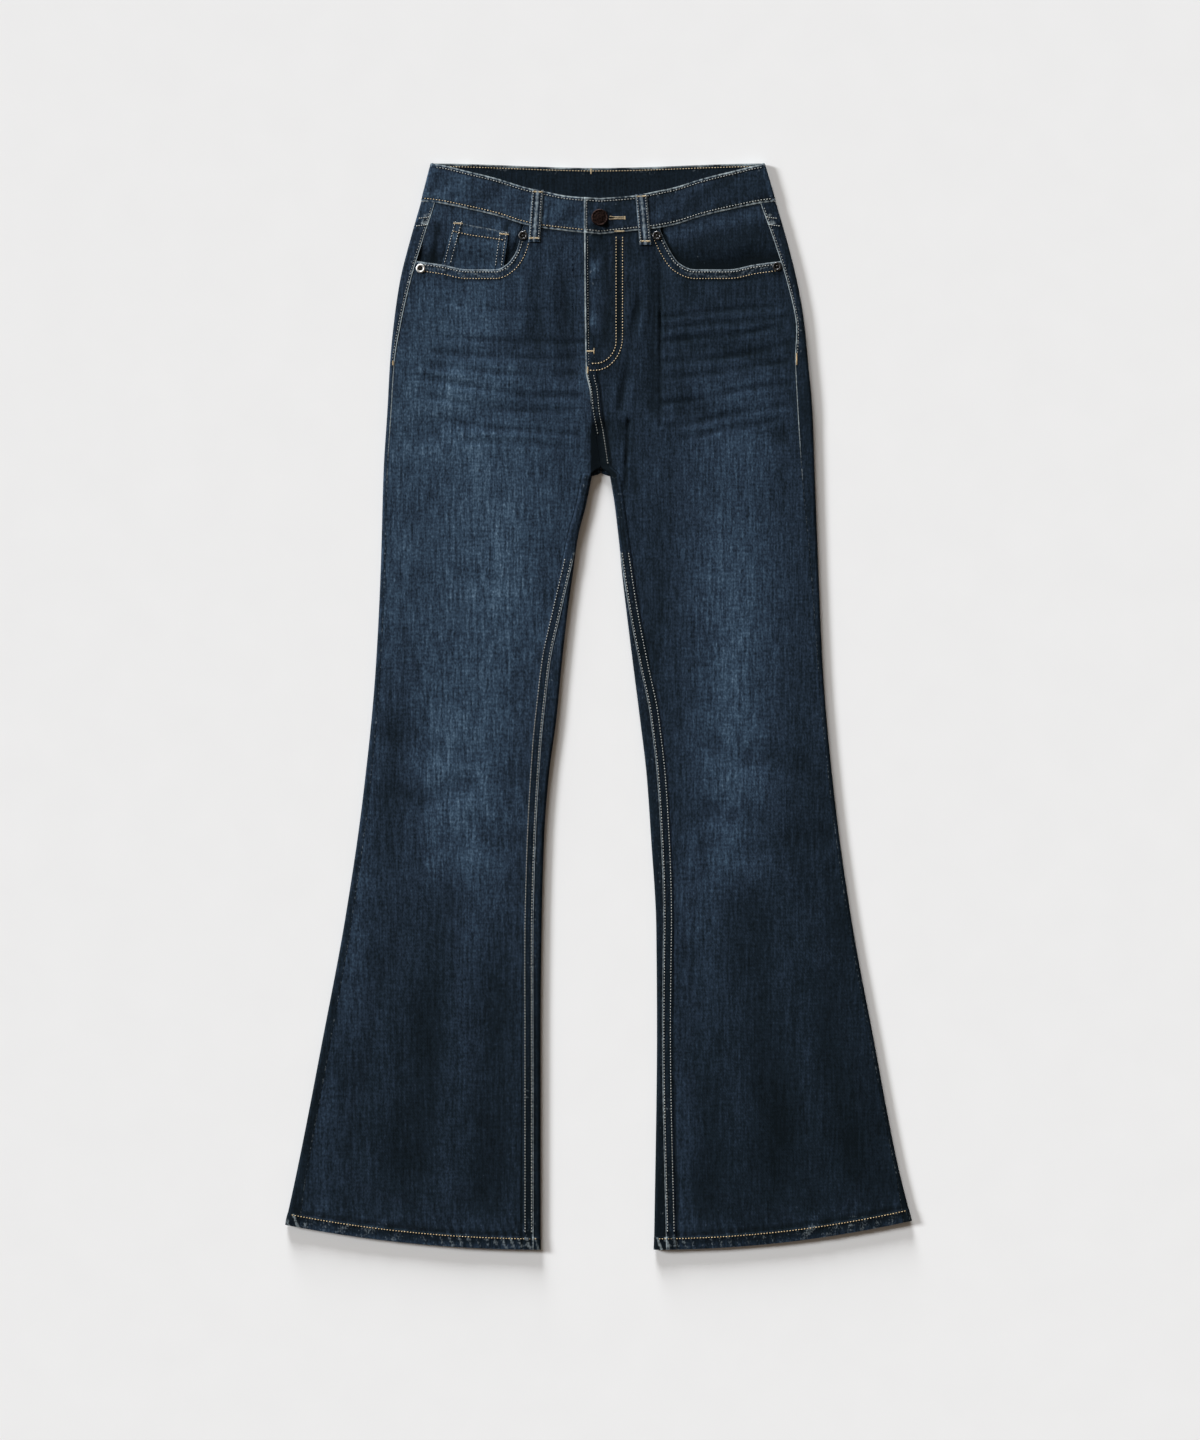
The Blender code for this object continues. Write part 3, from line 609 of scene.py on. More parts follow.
def fly_effects(x, down, from_end):
    """Lift, wash_and_shade and wear_and_highlight of the fly: its edge, rubbed pale with a painted
    highlight; a painted highlight on the zip's ridge; painted shade beside the edge and in the valley past
    the ridge; and a darker band between the curved rows.
    """
    from_edge = x - CENTRE.at("front", down)
    edge = (1 - smooth(0.9, 1.9, from_end)) * (1 - smooth(FLY_END + 10, FLY_END + 50, down))
    zip_marks = smooth(17, 11, from_edge) * smooth(4, 7, from_edge) * (down < FLY_END - 10)
    lift = placket(from_edge, down) + 0.22 * zip_marks * (pucker(down, 11, 8) - 0.5)
    # Painted highlight along the zip's ridge.
    zip_highlight = (0.32 + 0.24 * uneven(down / 7, 3)) * beside(from_edge, 9.8, 4.4)
    zip_highlight = zip_highlight * smooth(84, 100, down) * (1 - smooth(150, 176, down))
    on_fly = smooth(74, 77, down) * (1 - smooth(160, 196, down))
    # Painted shade beside the fly's edge and in the valley past the zip; darker between the curved rows.
    wash_and_shade = zip_highlight - 0.42 * beside(from_edge, 3.2, 1.0) - 0.10 * beside(from_edge, 21, 6)
    wash_and_shade = (wash_and_shade - 0.30 * beside(from_edge, 33.2, 2.6)) * on_fly
    # The fly's edge: rubbed pale, with a painted highlight over it.
    wear_and_highlight = (0.84 + 0.3 * uneven(down / 5, 2)) * edge
    return lift, wash_and_shade, wear_and_highlight + 0.30 * zip_marks * pucker(down + 0.3 * x, 11, 8) ** 2


def fork_shade(side, x, down, from_end):
    """How far the cloth beside the rise lies in the shade of the fold above the fork."""
    above_fork = down < FORK + 1
    if side < 0:
        return smooth(-8.0, -6.2, x) * smooth(246, 268, down) * above_fork
    hidden = mix(2.0, 6.4, smooth(256, 296, down))
    return (1 - smooth(hidden, hidden + 1.2, from_end)) * smooth(258, 276, down) * above_fork


def build_front(side):
    """A front panel with its felled seam, its hem and its pocket's mouth."""
    points, out, down, level, from_seam = front_grid(side)
    x = points[..., 0]
    from_end = np.nan_to_num(from_seam, nan=FAR) + 0 * x
    effects = [
        fell_effects(side, down, level, from_end),
        hem_effects(side, x, level),
        mouth_effects(x, down),
    ]
    if side > 0:
        effects.append(fly_effects(x, down, from_end))
    lift, wash_and_shade, wear_and_highlight = (sum(effect[k] for effect in effects) for k in range(3))
    wash_and_shade = wash_and_shade + mix(washed_and_shaded(side, x, down), DEEP_SHADE, fork_shade(side, x, down, from_end))
    walls = DENIM + 0.4 * hem_share(level)
    cloth("front_" + NAME[side], points, out, lift, walls, wash_and_shade, wear_and_highlight)


# The zones of a back panel or yoke, across its section.
ROUND_OUTER, ALONG_FLOOR, ROUND_INNER = 0, 1, 2


def back_section(side, zone, share):
    """Section of a back panel or yoke, by its zone and the fraction of the way through it."""

    def section(down):
        radius = edge_radius(down)
        outer = outer_edge(side, down)
        start = OUTSIDE.at(NAME[side] + "_seam", down) - radius - SEAM_GAP / 2
        rounded = round_edge(side, outer, -side, mix(start, -math.pi * radius, share), down)
        middle = CENTRE.at("back", down) + side * SEAM_GAP / 2
        part = smooth(FORK - 2, FORK + 0.5, down)
        edge = inner_edge(side, down)
        flat_end = mix(middle + side * 20, edge + side * radius, part)
        under = flat_points(mix(outer - side * radius, flat_end, share), floor(down), -1.0)
        whole = flat_points(mix(middle + side * 20, middle, share), floor(down), -1.0)
        seam = inseam_path(side, down) - SEAM_GAP / 2
        split = round_edge(side, edge, side, mix(-math.pi * radius, seam, share), down)
        inner = mix(whole, split, part[..., None])
        zones = (zone[..., None] == ROUND_OUTER, zone[..., None] == ALONG_FLOOR)
        return np.where(zones[0], rounded, np.where(zones[1], under, inner))

    return section


def back_columns():
    """Columns of a back panel or yoke: the zone and the fraction of the way through it."""
    steps = (np.linspace(0, 1, 22), np.linspace(0, 1, 28)[1:], np.linspace(0, 1, 22)[1:])
    return np.repeat((ROUND_OUTER, ALONG_FLOOR, ROUND_INNER), (22, 27, 21)), np.concatenate(steps)


def build_back(side):
    """A back panel, wrapped round both edges of the leg to the seams on top."""
    zone, share = back_columns()
    seat = np.arange(YOKE_AT_SIDE, SEAT, 4.5)
    level = np.concatenate((seat, leg_rows(SEAT, 4.5)))[:, None]

    def place(x):
        drop = yoke_seam(across(side, x, 60.0)) - YOKE_AT_SIDE
        upper = level + drop * (SEAT - level) / (SEAT - YOKE_AT_SIDE) + SEAM_GAP / 2
        return np.where(level < SEAT, upper, hem_line(side, level, x))

    points, out, down = grid_of(back_section(side, zone, share), place)
    x = points[..., 0]
    flap = (zone == ROUND_OUTER) * (1 - smooth(0.3, 0.5, share))
    inner_flap = (zone == ROUND_INNER) * smooth(0.5, 0.8, share)
    from_seam = np.where(zone == ROUND_OUTER, np.abs(x - outseam(side, down)), FAR)
    topstitched = flap * (1 - smooth(187, 206, down))
    ridge = pucker(down, 8.0, 5 + side)
    raised = (FELL_RAISE + 0.2 * (ridge - 0.5)) * topstitched
    upper = smooth(0.35, 0.75, points[..., 2] / HEIGHT.at("height", LENGTH))
    in_hem, roped = hem_share(level), roping(side, x, level)
    raised = raised * (1 - in_hem) + in_hem * upper * (HEM_RAISE + 0.5 * (roped - 0.5))
    walls = DENIM + in_hem * mix(HEM_TURNING, 0.4, upper)
    wash_and_shade = WASHED.at(NAME[side], down) - 0.10 + 0.04 * uneven(down / 21 + x / 15, 7)
    wash_and_shade = wash_and_shade + 0.10 * beside(down, 130, 90) * flap
    wash_and_shade = wash_and_shade + 0.3 * beside(np.abs(x), 95, 60) * beside(down, 200, 80) * (zone == ALONG_FLOOR)
    wear_and_highlight = 1.1 * beside(from_seam, 0, 0.8) * (1 - smooth(250, 330, down))
    wear_and_highlight = (wear_and_highlight + 0.30 * beside(from_seam, 0, 1.2) * (down > 300)) * flap
    wear_and_highlight = wear_and_highlight + 0.35 * ridge * topstitched
    wear_and_highlight = wear_and_highlight + 0.22 * inner_flap * pucker(down, 9, 1) + 0.7 * roped**2 * in_hem * upper
    cloth("back_" + NAME[side], points, out, raised, walls, wash_and_shade, wear_and_highlight)


def build_yoke(side):
    """A back yoke, from the waistband to its seam, wrapped round the hip's edge."""
    zone, share = back_columns()
    rows = np.linspace(0, 1, 14)[:, None]
    section = back_section(side, zone, share)
    down = np.full((len(rows), len(zone)), 48.0)
    for _ in range(6):
        made = section(down)
        x, height = made[..., 0], made[..., 1]
        upper = smooth(0.3, 0.7, height / HEIGHT.at("height", 0))
        start = mix(BAND_DEPTH + back_sag(x), waist_seam(x), upper) + SEAM_GAP / 2
        down = mix(start, yoke_seam(across(side, x, 60.0)) - SEAM_GAP / 2, rows)
    made = section(down)
    x = made[..., 0]
    flap = (zone == ROUND_OUTER) * (1 - smooth(0.3, 0.5, share))
    from_seam = np.where(zone == ROUND_OUTER, np.abs(x - outseam(side, down)), FAR)
    sewn = flap * (beside(rows, 1.0, 0.12) + beside(rows, 0.55, 0.10))
    wear_and_highlight = 1.1 * beside(from_seam, 0, 0.8) + 0.40 * flap * smooth(0.4, 1.0, rows) + 0.35 * sewn
    wash_and_shade = (0.40 if side < 0 else 0.28) + 0.04 * uneven(x / 9, 3)
    points, out = spots(x, down, made[..., 1]), made[..., 2:]
    cloth("yoke_" + NAME[side], points, out, FELL_RAISE * flap, DENIM, wash_and_shade, wear_and_highlight)


def facing_grid(side, columns, rows):
    """The pocket facing on the front panel's own section, sunk under the mouth of the pocket."""
    share = np.array(columns)
    rows = np.array(rows)[:, None]

    def place(x):
        start = waist_seam(x) + SEAM_GAP / 2
        return mix(start, np.maximum(mouth_down(side, share), start) + MOUTH_LAP - 0.3, rows)

    points, out, down = grid_of(front_section(side, share, np.full(len(share), np.nan)), place)
    from_mouth = down[-1:] - MOUTH_LAP + 0.3 - down
    tall = np.clip((down[-1:] - down[:1]) / 40, 0, 1)
    sunk = FACING_SINK * (1 - smooth(4, 22, from_mouth) * tall)
    return points, out, down, sunk, from_mouth


def build_facing(side):
    """The part of a pocket's facing that shows inside the mouth, with painted shade towards the mouth and
    along the band's seam.
    """
    share = MOUTH.at(NAME[side], np.linspace(0, 7, 60))
    points, out, down, sunk, from_mouth = facing_grid(side, share, np.linspace(0, 1, 26))
    x = points[..., 0]
    from_band = down - waist_seam(x)
    base, under_band = (0.36, 0.12) if side < 0 else (0.17, 0.22)
    # Painted shade in a thin line along the band's seam.
    wash_and_shade = base + under_band * beside(from_band, 9, 10) - 0.1 * beside(from_band, 0, 2.2)
    # Painted shade towards the mouth, under the front's edge.
    wash_and_shade = wash_and_shade - 0.22 * (1 - smooth(2, 16, from_mouth)) + 0.04 * uneven(x / 11, 3)
    if side < 0:
        # the coin pocket's own shade on both sides of it
        past_left = x - mix(-154.4, -160.7, (down - 56) / 39)
        past_right = x - mix(-93.6, -100.5, (down - 66) / 36)
        shade = beside(past_left, -2, 2.4) + beside(past_right, 2.5, 2.8)
        wash_and_shade = wash_and_shade - 0.28 * shade * smooth(54, 62, down)
    slack = 0.25 * uneven(x / 12 + down / 14, 6) * smooth(2, 8, from_band) * smooth(6, 14, from_mouth)
    name = "pocket_facing_" + NAME[side]
    cloth(name, points, out, slack - sunk, DENIM + sunk - slack, wash_and_shade, 0.05)


def coin_columns(count):
    """Columns of the facing that the coin pocket covers."""
    return MOUTH.at("right", np.linspace(1, 3.6, count))


COIN_WIDTH = 66.0
COIN_ROWS = np.linspace(0.25, 1.0, 20)  # fractions of the way down the facing


def coin_grid(columns):
    """Points of the coin pocket on the right facing, ending just inside the pocket's mouth."""
    points, out, down, sunk, _ = facing_grid(-1, columns, COIN_ROWS)
    points[-1, :, 1] += MOUTH_LAP + 0.2
    return points, out, down, sunk


def build_coin_pocket():
    """The coin pocket, a patch with a turned top and sides."""
    points, out, down, sunk = coin_grid(coin_columns(34))
    x = points[..., 0]
    column = np.linspace(0, COIN_WIDTH, 34)
    from_side = np.minimum(column, COIN_WIDTH - column) + 0 * x
    from_top = (np.arange(len(COIN_ROWS)) * 2.3)[:, None] + 0 * x
    turned = np.maximum(1 - smooth(8, 9.5, from_top), 1 - smooth(8.5, 10, from_side))
    ridge = pucker(x + down, 5.5, 4)
    lift = SEAM_GAP - sunk
    raised = lift + PATCH_WALL + (0.25 + 0.22 * (ridge - 0.5)) * turned - 0.2 * beside(from_side, 10, 1)
    wash_and_shade = 0.46 + 0.08 * beside(from_top, 17, 8) + 0.04 * uneven(x / 7, 2)
    wash_and_shade = wash_and_shade - 0.16 * beside(from_side, 10.2, 1.2) - 0.14 * beside(from_top, 9.8, 1.0)
    wear_and_highlight = turned * 0.34 * ridge + 0.4 * beside(from_top, 0, 0.9)
    cloth("coin_pocket", points, out, raised, -lift, wash_and_shade, wear_and_highlight)


# The back pockets, in fractions of the half seat across and of the way from yoke to seat.
POCKET_OUTER, POCKET_INNER = 0.22, 0.84
POCKET_TOP, POCKET_CORNER, POCKET_POINT = 0.14, 0.72, 0.87


def back_pocket_at(side, column, step, drop=0.0):
    """Place across and down of a point of a back pocket, by its column and its step down."""
    middle, half = (POCKET_OUTER + POCKET_INNER) / 2, (POCKET_INNER - POCKET_OUTER) / 2
    bottom = mix(POCKET_CORNER, POCKET_POINT, 1 - np.abs(column - middle) / half) - drop
    down = mix(yoke_seam(column), SEAT, mix(POCKET_TOP, bottom, step))
    return mix(outer_edge(side, down), 0.0, column), down


def build_back_pocket(side):
    """A plain patch pocket with a point, on the hidden side."""
    column = np.linspace(POCKET_OUTER, POCKET_INNER, 33)
    step = np.linspace(0, 1, 30)[:, None]
    x, down = back_pocket_at(side, column, step)
    from_side = np.minimum(column - POCKET_OUTER, POCKET_INNER - column) * 200
    edge = np.minimum(from_side, (1 - step) * 130)
    hemmed = 1 - smooth(16, 18, step * 130)
    wear_and_highlight = 0.5 * beside(edge, 0, 2.0) + 0.25 * hemmed * pucker(x, 8, 2)
    wash_and_shade = 0.3 + 0.12 * uneven(x / 19 + down / 25, 3)
    raised = -0.12 * (1 - smooth(0, 2, edge))
    name = "back_pocket_" + NAME[side]
    cloth(name, spots(x, down, 0.0), facing_floor(x), raised, PATCH_WALL, wash_and_shade, wear_and_highlight)


def band_front(side, stations, shares):
    """The part of the waistband that shows on top, fanned out to the sides as it is cut."""
    x = stations + 0 * shares
    for _ in range(6):
        down = mix(waist_top(x), waist_seam(x) - SEAM_GAP / 2, shares)
        stretch = outer_edge(1, down) / outer_edge(1, BAND_MIDDLE)
        x = stations * mix(1.0, stretch, smooth(60, 120, np.abs(stations)))
    height = top(side, x, down)
    if side < 0:
        height = height - (LAP_SINK - 0.5) * smooth(-44, LAP_END - 4, x)
    return x, down, flat_points(x, height, 1.0), BAND_RAISE + 0 * x


def band_edge(side, turn, shares):
    """The part of the waistband round a side edge, by the fraction of the half turn."""
    down = shares * (BAND_DEPTH - SEAM_GAP / 2) + 0 * turn
    path = -turn * math.pi * edge_radius(down)
    made = round_edge(side, outer_edge(side, down), -side, path, down)
    return made[..., 0], down, made, BAND_RAISE * (1 - smooth(0.4, 0.9, turn)) + 0 * down


def band_back(stations, shares):
    """The part of the waistband behind, flat on the table."""
    x = stations + 0 * shares
    for _ in range(6):
        down = back_sag(x) + shares * (BAND_DEPTH - SEAM_GAP / 2)
        x = stations * outer_edge(1, down) / outer_edge(1, BAND_MIDDLE)
    return x, down, flat_points(x, floor(down), -1.0), 0 * x


def band_grid():
    """Points of the waistband from its hidden right end, round the back, to its left end."""
    right, left = outer_edge(-1, BAND_MIDDLE) + 4, outer_edge(1, BAND_MIDDLE) - 4
    shares = (0, 0.02, 0.05, 0.09, *np.linspace(0.14, 0.86, 9), 0.91, 0.95, 0.98, 1.0)
    shares = np.array(shares)[:, None]
    turn = np.arange(1, 12) / 12
    parts = (
        band_front(-1, np.linspace(UNDERLAP_END, right, 92), shares),
        band_edge(-1, turn, shares),
        band_back(np.linspace(right, left, 60), shares),
        band_edge(1, 1 - turn, shares),
        band_front(1, np.linspace(left, LAP_END, 92), shares),
    )
    x, down, made, raised = (np.concatenate([part[k] for part in parts], axis=1) for k in range(4))
    return spots(x, down, made[..., 1]), made[..., 2:], down, raised, shares + 0 * x


def build_waistband():
    """The waistband, puckered along its rows and rubbed along its edges, with a painted highlight on its
    lapped end and its part behind set dark, partly by painted shade.
    """
    points, out, down, raised, shares = band_grid()
    x = points[..., 0]
    from_edge = np.minimum(shares, 1 - shares) * BAND_DEPTH
    ridge = pucker(x + 4 * uneven(shares * 5, 3), 6.2, 6)
    near = beside(from_edge, 0, 7)
    visible = smooth(0.2, 0.8, raised / BAND_RAISE)
    on_left = np.arange(x.shape[1]) > 174
    end_face = smooth(LAP_END + 0.9, LAP_END, x) * on_left
    sewn = 0.24 * (ridge - 0.5) * near - 0.22 * beside(from_edge, 3.0, 1.1)
    raised = raised + visible * (sewn - 0.30 * (1 - smooth(0, 1.4, from_edge))) - 0.4 * end_face
    low = beside((1 - shares) * BAND_DEPTH, 0, 9) * np.where(on_left, 0.6, 1.0)
    wash_and_shade = np.where(on_left, 0.25, 0.44) + 0.12 * uneven(x / 9 + down / 7, 8)
    wash_and_shade = wash_and_shade - 0.16 * beside(from_edge, 3.2, 1.2) + 0.16 * (ridge - 0.5) * near
    wash_and_shade = wash_and_shade + 0.22 * low * pucker(x + 3 * uneven(shares * 4, 2), 9.5, 8)
    # The part behind, seen inside the waist, is set dark: partly its own less faded inside, partly painted
    # shade under the front's top edge.
    wash_and_shade = wash_and_shade * visible + 0.12 * (1 - visible)
    edge = (0.55 + 0.3 * uneven(x / 6, 4)) * beside(from_edge, 0.4, 0.9)
    # A painted highlight on the lapped end of the band, by the button.
    wear_and_highlight = 0.45 * ridge * near + edge + 0.6 * smooth(LAP_END + 4, LAP_END, x) * on_left
    cloth("waistband", points, out, raised, BAND_WALL, wash_and_shade, wear_and_highlight)


FRONT_LOOPS = {-1: (-59.5, -63.2), 1: (41.7, 46.0)}  # middle at the band's top, and at the end
BACK_LOOPS = {"right": -105.0, "middle": 0.0, "left": 105.0}


def loop_grid(side, columns=9):
    """Points of a front loop, which hangs from the band's top over the waist seam."""
    x_top, x_end = FRONT_LOOPS[side]
    start = float(waist_top(x_top))
    seam = float(max(waist_seam(x_end - LOOP_WIDTH / 2), waist_seam(x_end + LOOP_WIDTH / 2)))
    end = float(waist_seam(x_end)) + LOOP_TAIL
    down = np.array((start, start + 0.7, *np.linspace(start + 2, end - 2, 30), end - 0.7, end))[:, None]
    middle = mix(x_top, x_end, (down - start) / (end - start))
    x = middle + np.linspace(-0.5, 0.5, columns) * LOOP_WIDTH
    over_panel = smooth(seam + 1, seam + 2.5, down)
    lift = BAND_RAISE + SEAM_GAP + 0.1
    return spots(x, down, top(side, x, down) + lift + PATCH_WALL), down + 0 * x, over_panel + 0 * x


def build_front_loop(side):
    """A front belt loop, folded so that it is ridged in the middle, and rubbed at its rims."""
    points, down, over_panel = loop_grid(side, 15)
    from_middle = np.abs(np.linspace(-1, 1, 15)) * LOOP_WIDTH / 2
    rim = 1 - smooth(0, 0.9, LOOP_WIDTH / 2 - from_middle)
    ridge = beside(from_middle, 0, 1.6)
    raised = 0.25 * ridge - 0.3 * rim + 0.12 * (pucker(down, 5.5, 2) - 0.5)
    walls = PATCH_WALL + (BAND_RAISE - 0.1) * over_panel
    wash_and_shade = 0.58 + 0.06 * uneven(down / 6, 3) - 0.4 * beside(from_middle, 2.6, 0.9)
    wear_and_highlight = 0.50 * ridge + 0.65 * rim + 0.25 * pucker(down, 5.5, 2)
    name = "belt_loop_front_" + NAME[side]
    cloth(name, points, -facing_floor(down), raised, walls, wash_and_shade, wear_and_highlight)


def build_back_loop(name, middle):
    """A loop on the hidden side, straight down from the band's top."""
    start = float(back_sag(middle)) + 0.5
    down = np.linspace(start, start + BAND_DEPTH + LOOP_TAIL, 30)[:, None]
    points = spots(middle + np.linspace(-0.5, 0.5, 9) * LOOP_WIDTH, down, 0.0)
    wear_and_highlight = 0.3 * pucker(down, 6, 3)
    cloth("belt_loop_back_" + name, points, facing_floor(points[..., 0]), 0.0, PATCH_WALL, 0.2, wear_and_highlight)


# ---------------------------------------------------------------------------------------------
# Meshes


def cloth(name, points, out, raised, walls, wash_and_shade, wear_and_highlight):
    """A closed thin shell over a grid of points, with its fade and painted shade, and its wear and painted
    highlights, kept on its points.
    """
    normals = np.stack((out[..., 0], 0 * out[..., 0], out[..., 1]), axis=-1)
    normals /= np.linalg.norm(normals, axis=2, keepdims=True)
    raised, walls, wash_and_shade, wear_and_highlight = (np.broadcast_to(v, points.shape[:2]) for v in (raised, walls, wash_and_shade, wear_and_highlight))
    outer = (points + normals * raised[..., None]).reshape(-1, 3)
    inner = (points - normals * walls[..., None]).reshape(-1, 3)
    bm = bmesh.new()
    bmesh.ops.create_grid(bm, x_segments=points.shape[1] - 1, y_segments=points.shape[0] - 1, size=1.0)
    order = bm.verts.layers.int.new("order")
    wash_and_shade_layer, wear_and_highlight_layer = bm.verts.layers.float.new("wash_and_shade"), bm.verts.layers.float.new("wear_and_highlight")
    for vert, place, pale, rubbed in zip(bm.verts, outer, wash_and_shade.ravel(), wear_and_highlight.ravel()):
        vert[order] = vert.index
        vert.co = place
        vert[wash_and_shade_layer], vert[wear_and_highlight_layer] = pale, rubbed
    made = bmesh.ops.extrude_face_region(bm, geom=bm.faces[:], use_keep_orig=True)["geom"]
    for vert in made:
        if isinstance(vert, bmesh.types.BMVert):
            vert.co = inner[vert[order]]
    bmesh.ops.recalc_face_normals(bm, faces=bm.faces)
    if bm.calc_volume(signed=True) < 0:
        bmesh.ops.reverse_faces(bm, faces=bm.faces)
    bm.verts.layers.int.remove(order)
    piece = finished(bm, name + "_cloth", WASHED_DENIM, 60)
    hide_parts(name)


def finished(bm, name, material, sharp):
    """Writes a bmesh in metres as a piece that rides on the garment."""
    bmesh.ops.scale(bm, vec=(0.001, 0.001, 0.001), verts=bm.verts)
    mesh = bpy.data.meshes.new(name)
    bm.to_mesh(mesh)
    bm.free()
    return ridden(mesh, name, material, sharp)


def ridden(mesh, name, material, sharp):
    """Makes a mesh a piece that rides on the garment."""
    mesh.materials.append(material)
    mesh.shade_smooth()
    mesh.set_sharp_from_angle(angle=math.radians(sharp))
    piece = bpy.data.objects.new(name, mesh)
    bpy.context.scene.collection.objects.link(piece)
    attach(piece, "root")
    return piece


# ---------------------------------------------------------------------------------------------
# Materials


def linear(code, alpha=1.0):
    """A colour written as sRGB hex, as the linear values that a shader takes."""
    values = [int(code[k : k + 2], 16) / 255 for k in (1, 3, 5)]
    return [v / 12.92 if v <= 0.04045 else ((v + 0.055) / 1.055) ** 2.4 for v in values] + [alpha]


def add(tree, kind, inputs, **settings):
    """Adds a node with its properties, and gives each input a value or links it to an output."""
    node = tree.nodes.new(kind)
    for key, value in settings.items():
        setattr(node, key, value)
    for key, value in inputs.items():
        if isinstance(value, bpy.types.NodeSocket):
            tree.links.new(value, node.inputs[key])
        else:
            node.inputs[key].default_value = value
    return node


def new_material(name, roughness, metallic, specular):
    """A material with its node tree, its shader and the piece's own coordinates."""
    material = bpy.data.materials.new(name)
    material.use_nodes = True
    tree = material.node_tree
    shader = tree.nodes["Principled BSDF"]
    shader.inputs["Roughness"].default_value = roughness
    shader.inputs["Metallic"].default_value = metallic
    shader.inputs["Specular IOR Level"].default_value = specular
    place = add(tree, "ShaderNodeTexCoord", {}).outputs["Object"]
    return material, tree, shader, place


def sum_of(tree, start, *terms):
    """A number or output plus each of the outputs times its weight."""
    for source, weight in terms:
        inputs = {0: source, 1: weight, 2: start}
        start = add(tree, "ShaderNodeMath", inputs, operation="MULTIPLY_ADD").outputs[0]
    return start


def denim(name):
    """Indigo warp over a pale weft in a twill, stonewashed and rubbed pale on its ridges, which also draws
    the painted shade and highlights that its cloth carries.
    """
    material, tree, shader, place = new_material(name, 0.9, 0.0, 0.06)

    def noise(wide, long, detail, rough=0.55):
        """Marks that are about so wide and long, in millimetres."""
        scale = (1000 / wide, 1000 / long, 300)
        marks = add(tree, "ShaderNodeMapping", {"Vector": place, "Scale": scale}).outputs[0]
        inputs = {"Vector": marks, "Scale": 1.0, "Detail": detail, "Roughness": rough}
        return add(tree, "ShaderNodeTexNoise", inputs).outputs["Fac"]

    # wash_and_shade holds the cloth's fade and its painted shade and highlights; wear_and_highlight holds
    # rubbing and painted highlights.
    wash_and_shade = add(tree, "ShaderNodeAttribute", {}, attribute_name="wash_and_shade").outputs["Fac"]
    wear_and_highlight = add(tree, "ShaderNodeAttribute", {}, attribute_name="wear_and_highlight").outputs["Fac"]
    warp = noise(2.2, 20, 2.0)  # yarns are 0.5 mm apart, drawn coarser so that they show
    slub = noise(3.6, 90, 2.0)
    weft = noise(14, 2.4, 2.0)
    grain = noise(1.7, 2.8, 1.0)
    mottle = noise(26, 34, 3.0, 0.6)
    marks = sum_of(tree, -1.13, (mottle, 0.18), (warp, 0.72), (slub, 0.36), (weft, 0.3), (grain, 0.7))
    contrast = sum_of(tree, 0.36, (wash_and_shade, 1.3))
    pale = sum_of(tree, wash_and_shade, (marks, contrast))
    ramp = add(tree, "ShaderNodeValToRGB", {0: pale})
    shades = ("#091116", "#141e27", "#222e3c", "#314253", "#465a6c", "#64798b")
    elements = ramp.color_ramp.elements
    for k in range(1, len(shades) - 1):
        elements.new(k / (len(shades) - 1))
    for element, shade in zip(elements, shades):
        element.color = linear(shade)
    # Rubbing and painted highlights alike, from wear_and_highlight, mix in the pale colour.
    rubbed = sum_of(tree, -1.02, (wear_and_highlight, 1.2), (weft, 0.5), (grain, 0.9))
    rubbed = add(tree, "ShaderNodeMapRange", {0: rubbed, 2: 1.1, 4: 0.95}).outputs[0]
    colour = {0: rubbed, 6: ramp.outputs[0], 7: linear("#aab6b9")}
    colour = add(tree, "ShaderNodeMix", colour, data_type="RGBA").outputs[2]
    tree.links.new(colour, shader.inputs["Base Color"])
    # The twill's ribs run up to the right, drawn 1.4 mm apart so that they catch the light.
    ribs = {"Vector": place, "Rotation": (0, 0, math.radians(28)), "Scale": (1000, 1000, 1000)}
    ribs = add(tree, "ShaderNodeMapping", ribs).outputs[0]
    ribs = {"Vector": ribs, "Scale": 0.22, "Distortion": 1.2, "Detail": 1.0}
    ribs = add(tree, "ShaderNodeTexWave", ribs).outputs["Fac"]
    relief = sum_of(tree, weft, (ribs, 0.25), (grain, 0.5), (warp, 0.8))
    bump = add(tree, "ShaderNodeBump", {"Height": relief, "Strength": 0.35, "Distance": 0.0003})
    tree.links.new(bump.outputs[0], shader.inputs["Normal"])
    return material


def mottled(name, dark, light, roughness, metallic, specular, scale, spread, bump=0.0):
    """A material of two colours in small spots, a little raised where they are light."""
    material, tree, shader, place = new_material(name, roughness, metallic, specular)
    grain = add(tree, "ShaderNodeTexNoise", {"Vector": place, "Scale": scale, "Detail": 2.5}).outputs["Fac"]
    share = add(tree, "ShaderNodeMapRange", {0: grain, 1: 0.5 - spread, 2: 0.5 + spread}).outputs[0]
    colour = add(tree, "ShaderNodeMix", {0: share, 6: linear(dark), 7: linear(light)}, data_type="RGBA")
    tree.links.new(colour.outputs[2], shader.inputs["Base Color"])
    if bump:
        relief = add(tree, "ShaderNodeBump", {"Height": grain, "Strength": bump, "Distance": 0.0002})
        tree.links.new(relief.outputs[0], shader.inputs["Normal"])
    return material


def thread(name, dark, light):
    """Spun polyester topstitching thread: matt, with its plies darker between them."""
    return mottled(name, dark, light, 0.75, 0.0, 0.25, 420.0, 0.3)


def metal(name, dark, light, roughness):
    """Plated brass, dulled by washing and rubbed brighter in spots."""
    return mottled(name, dark, light, roughness, 1.0, 0.5, 600.0, 0.12, 0.2)


# ---------------------------------------------------------------------------------------------
# Sewing


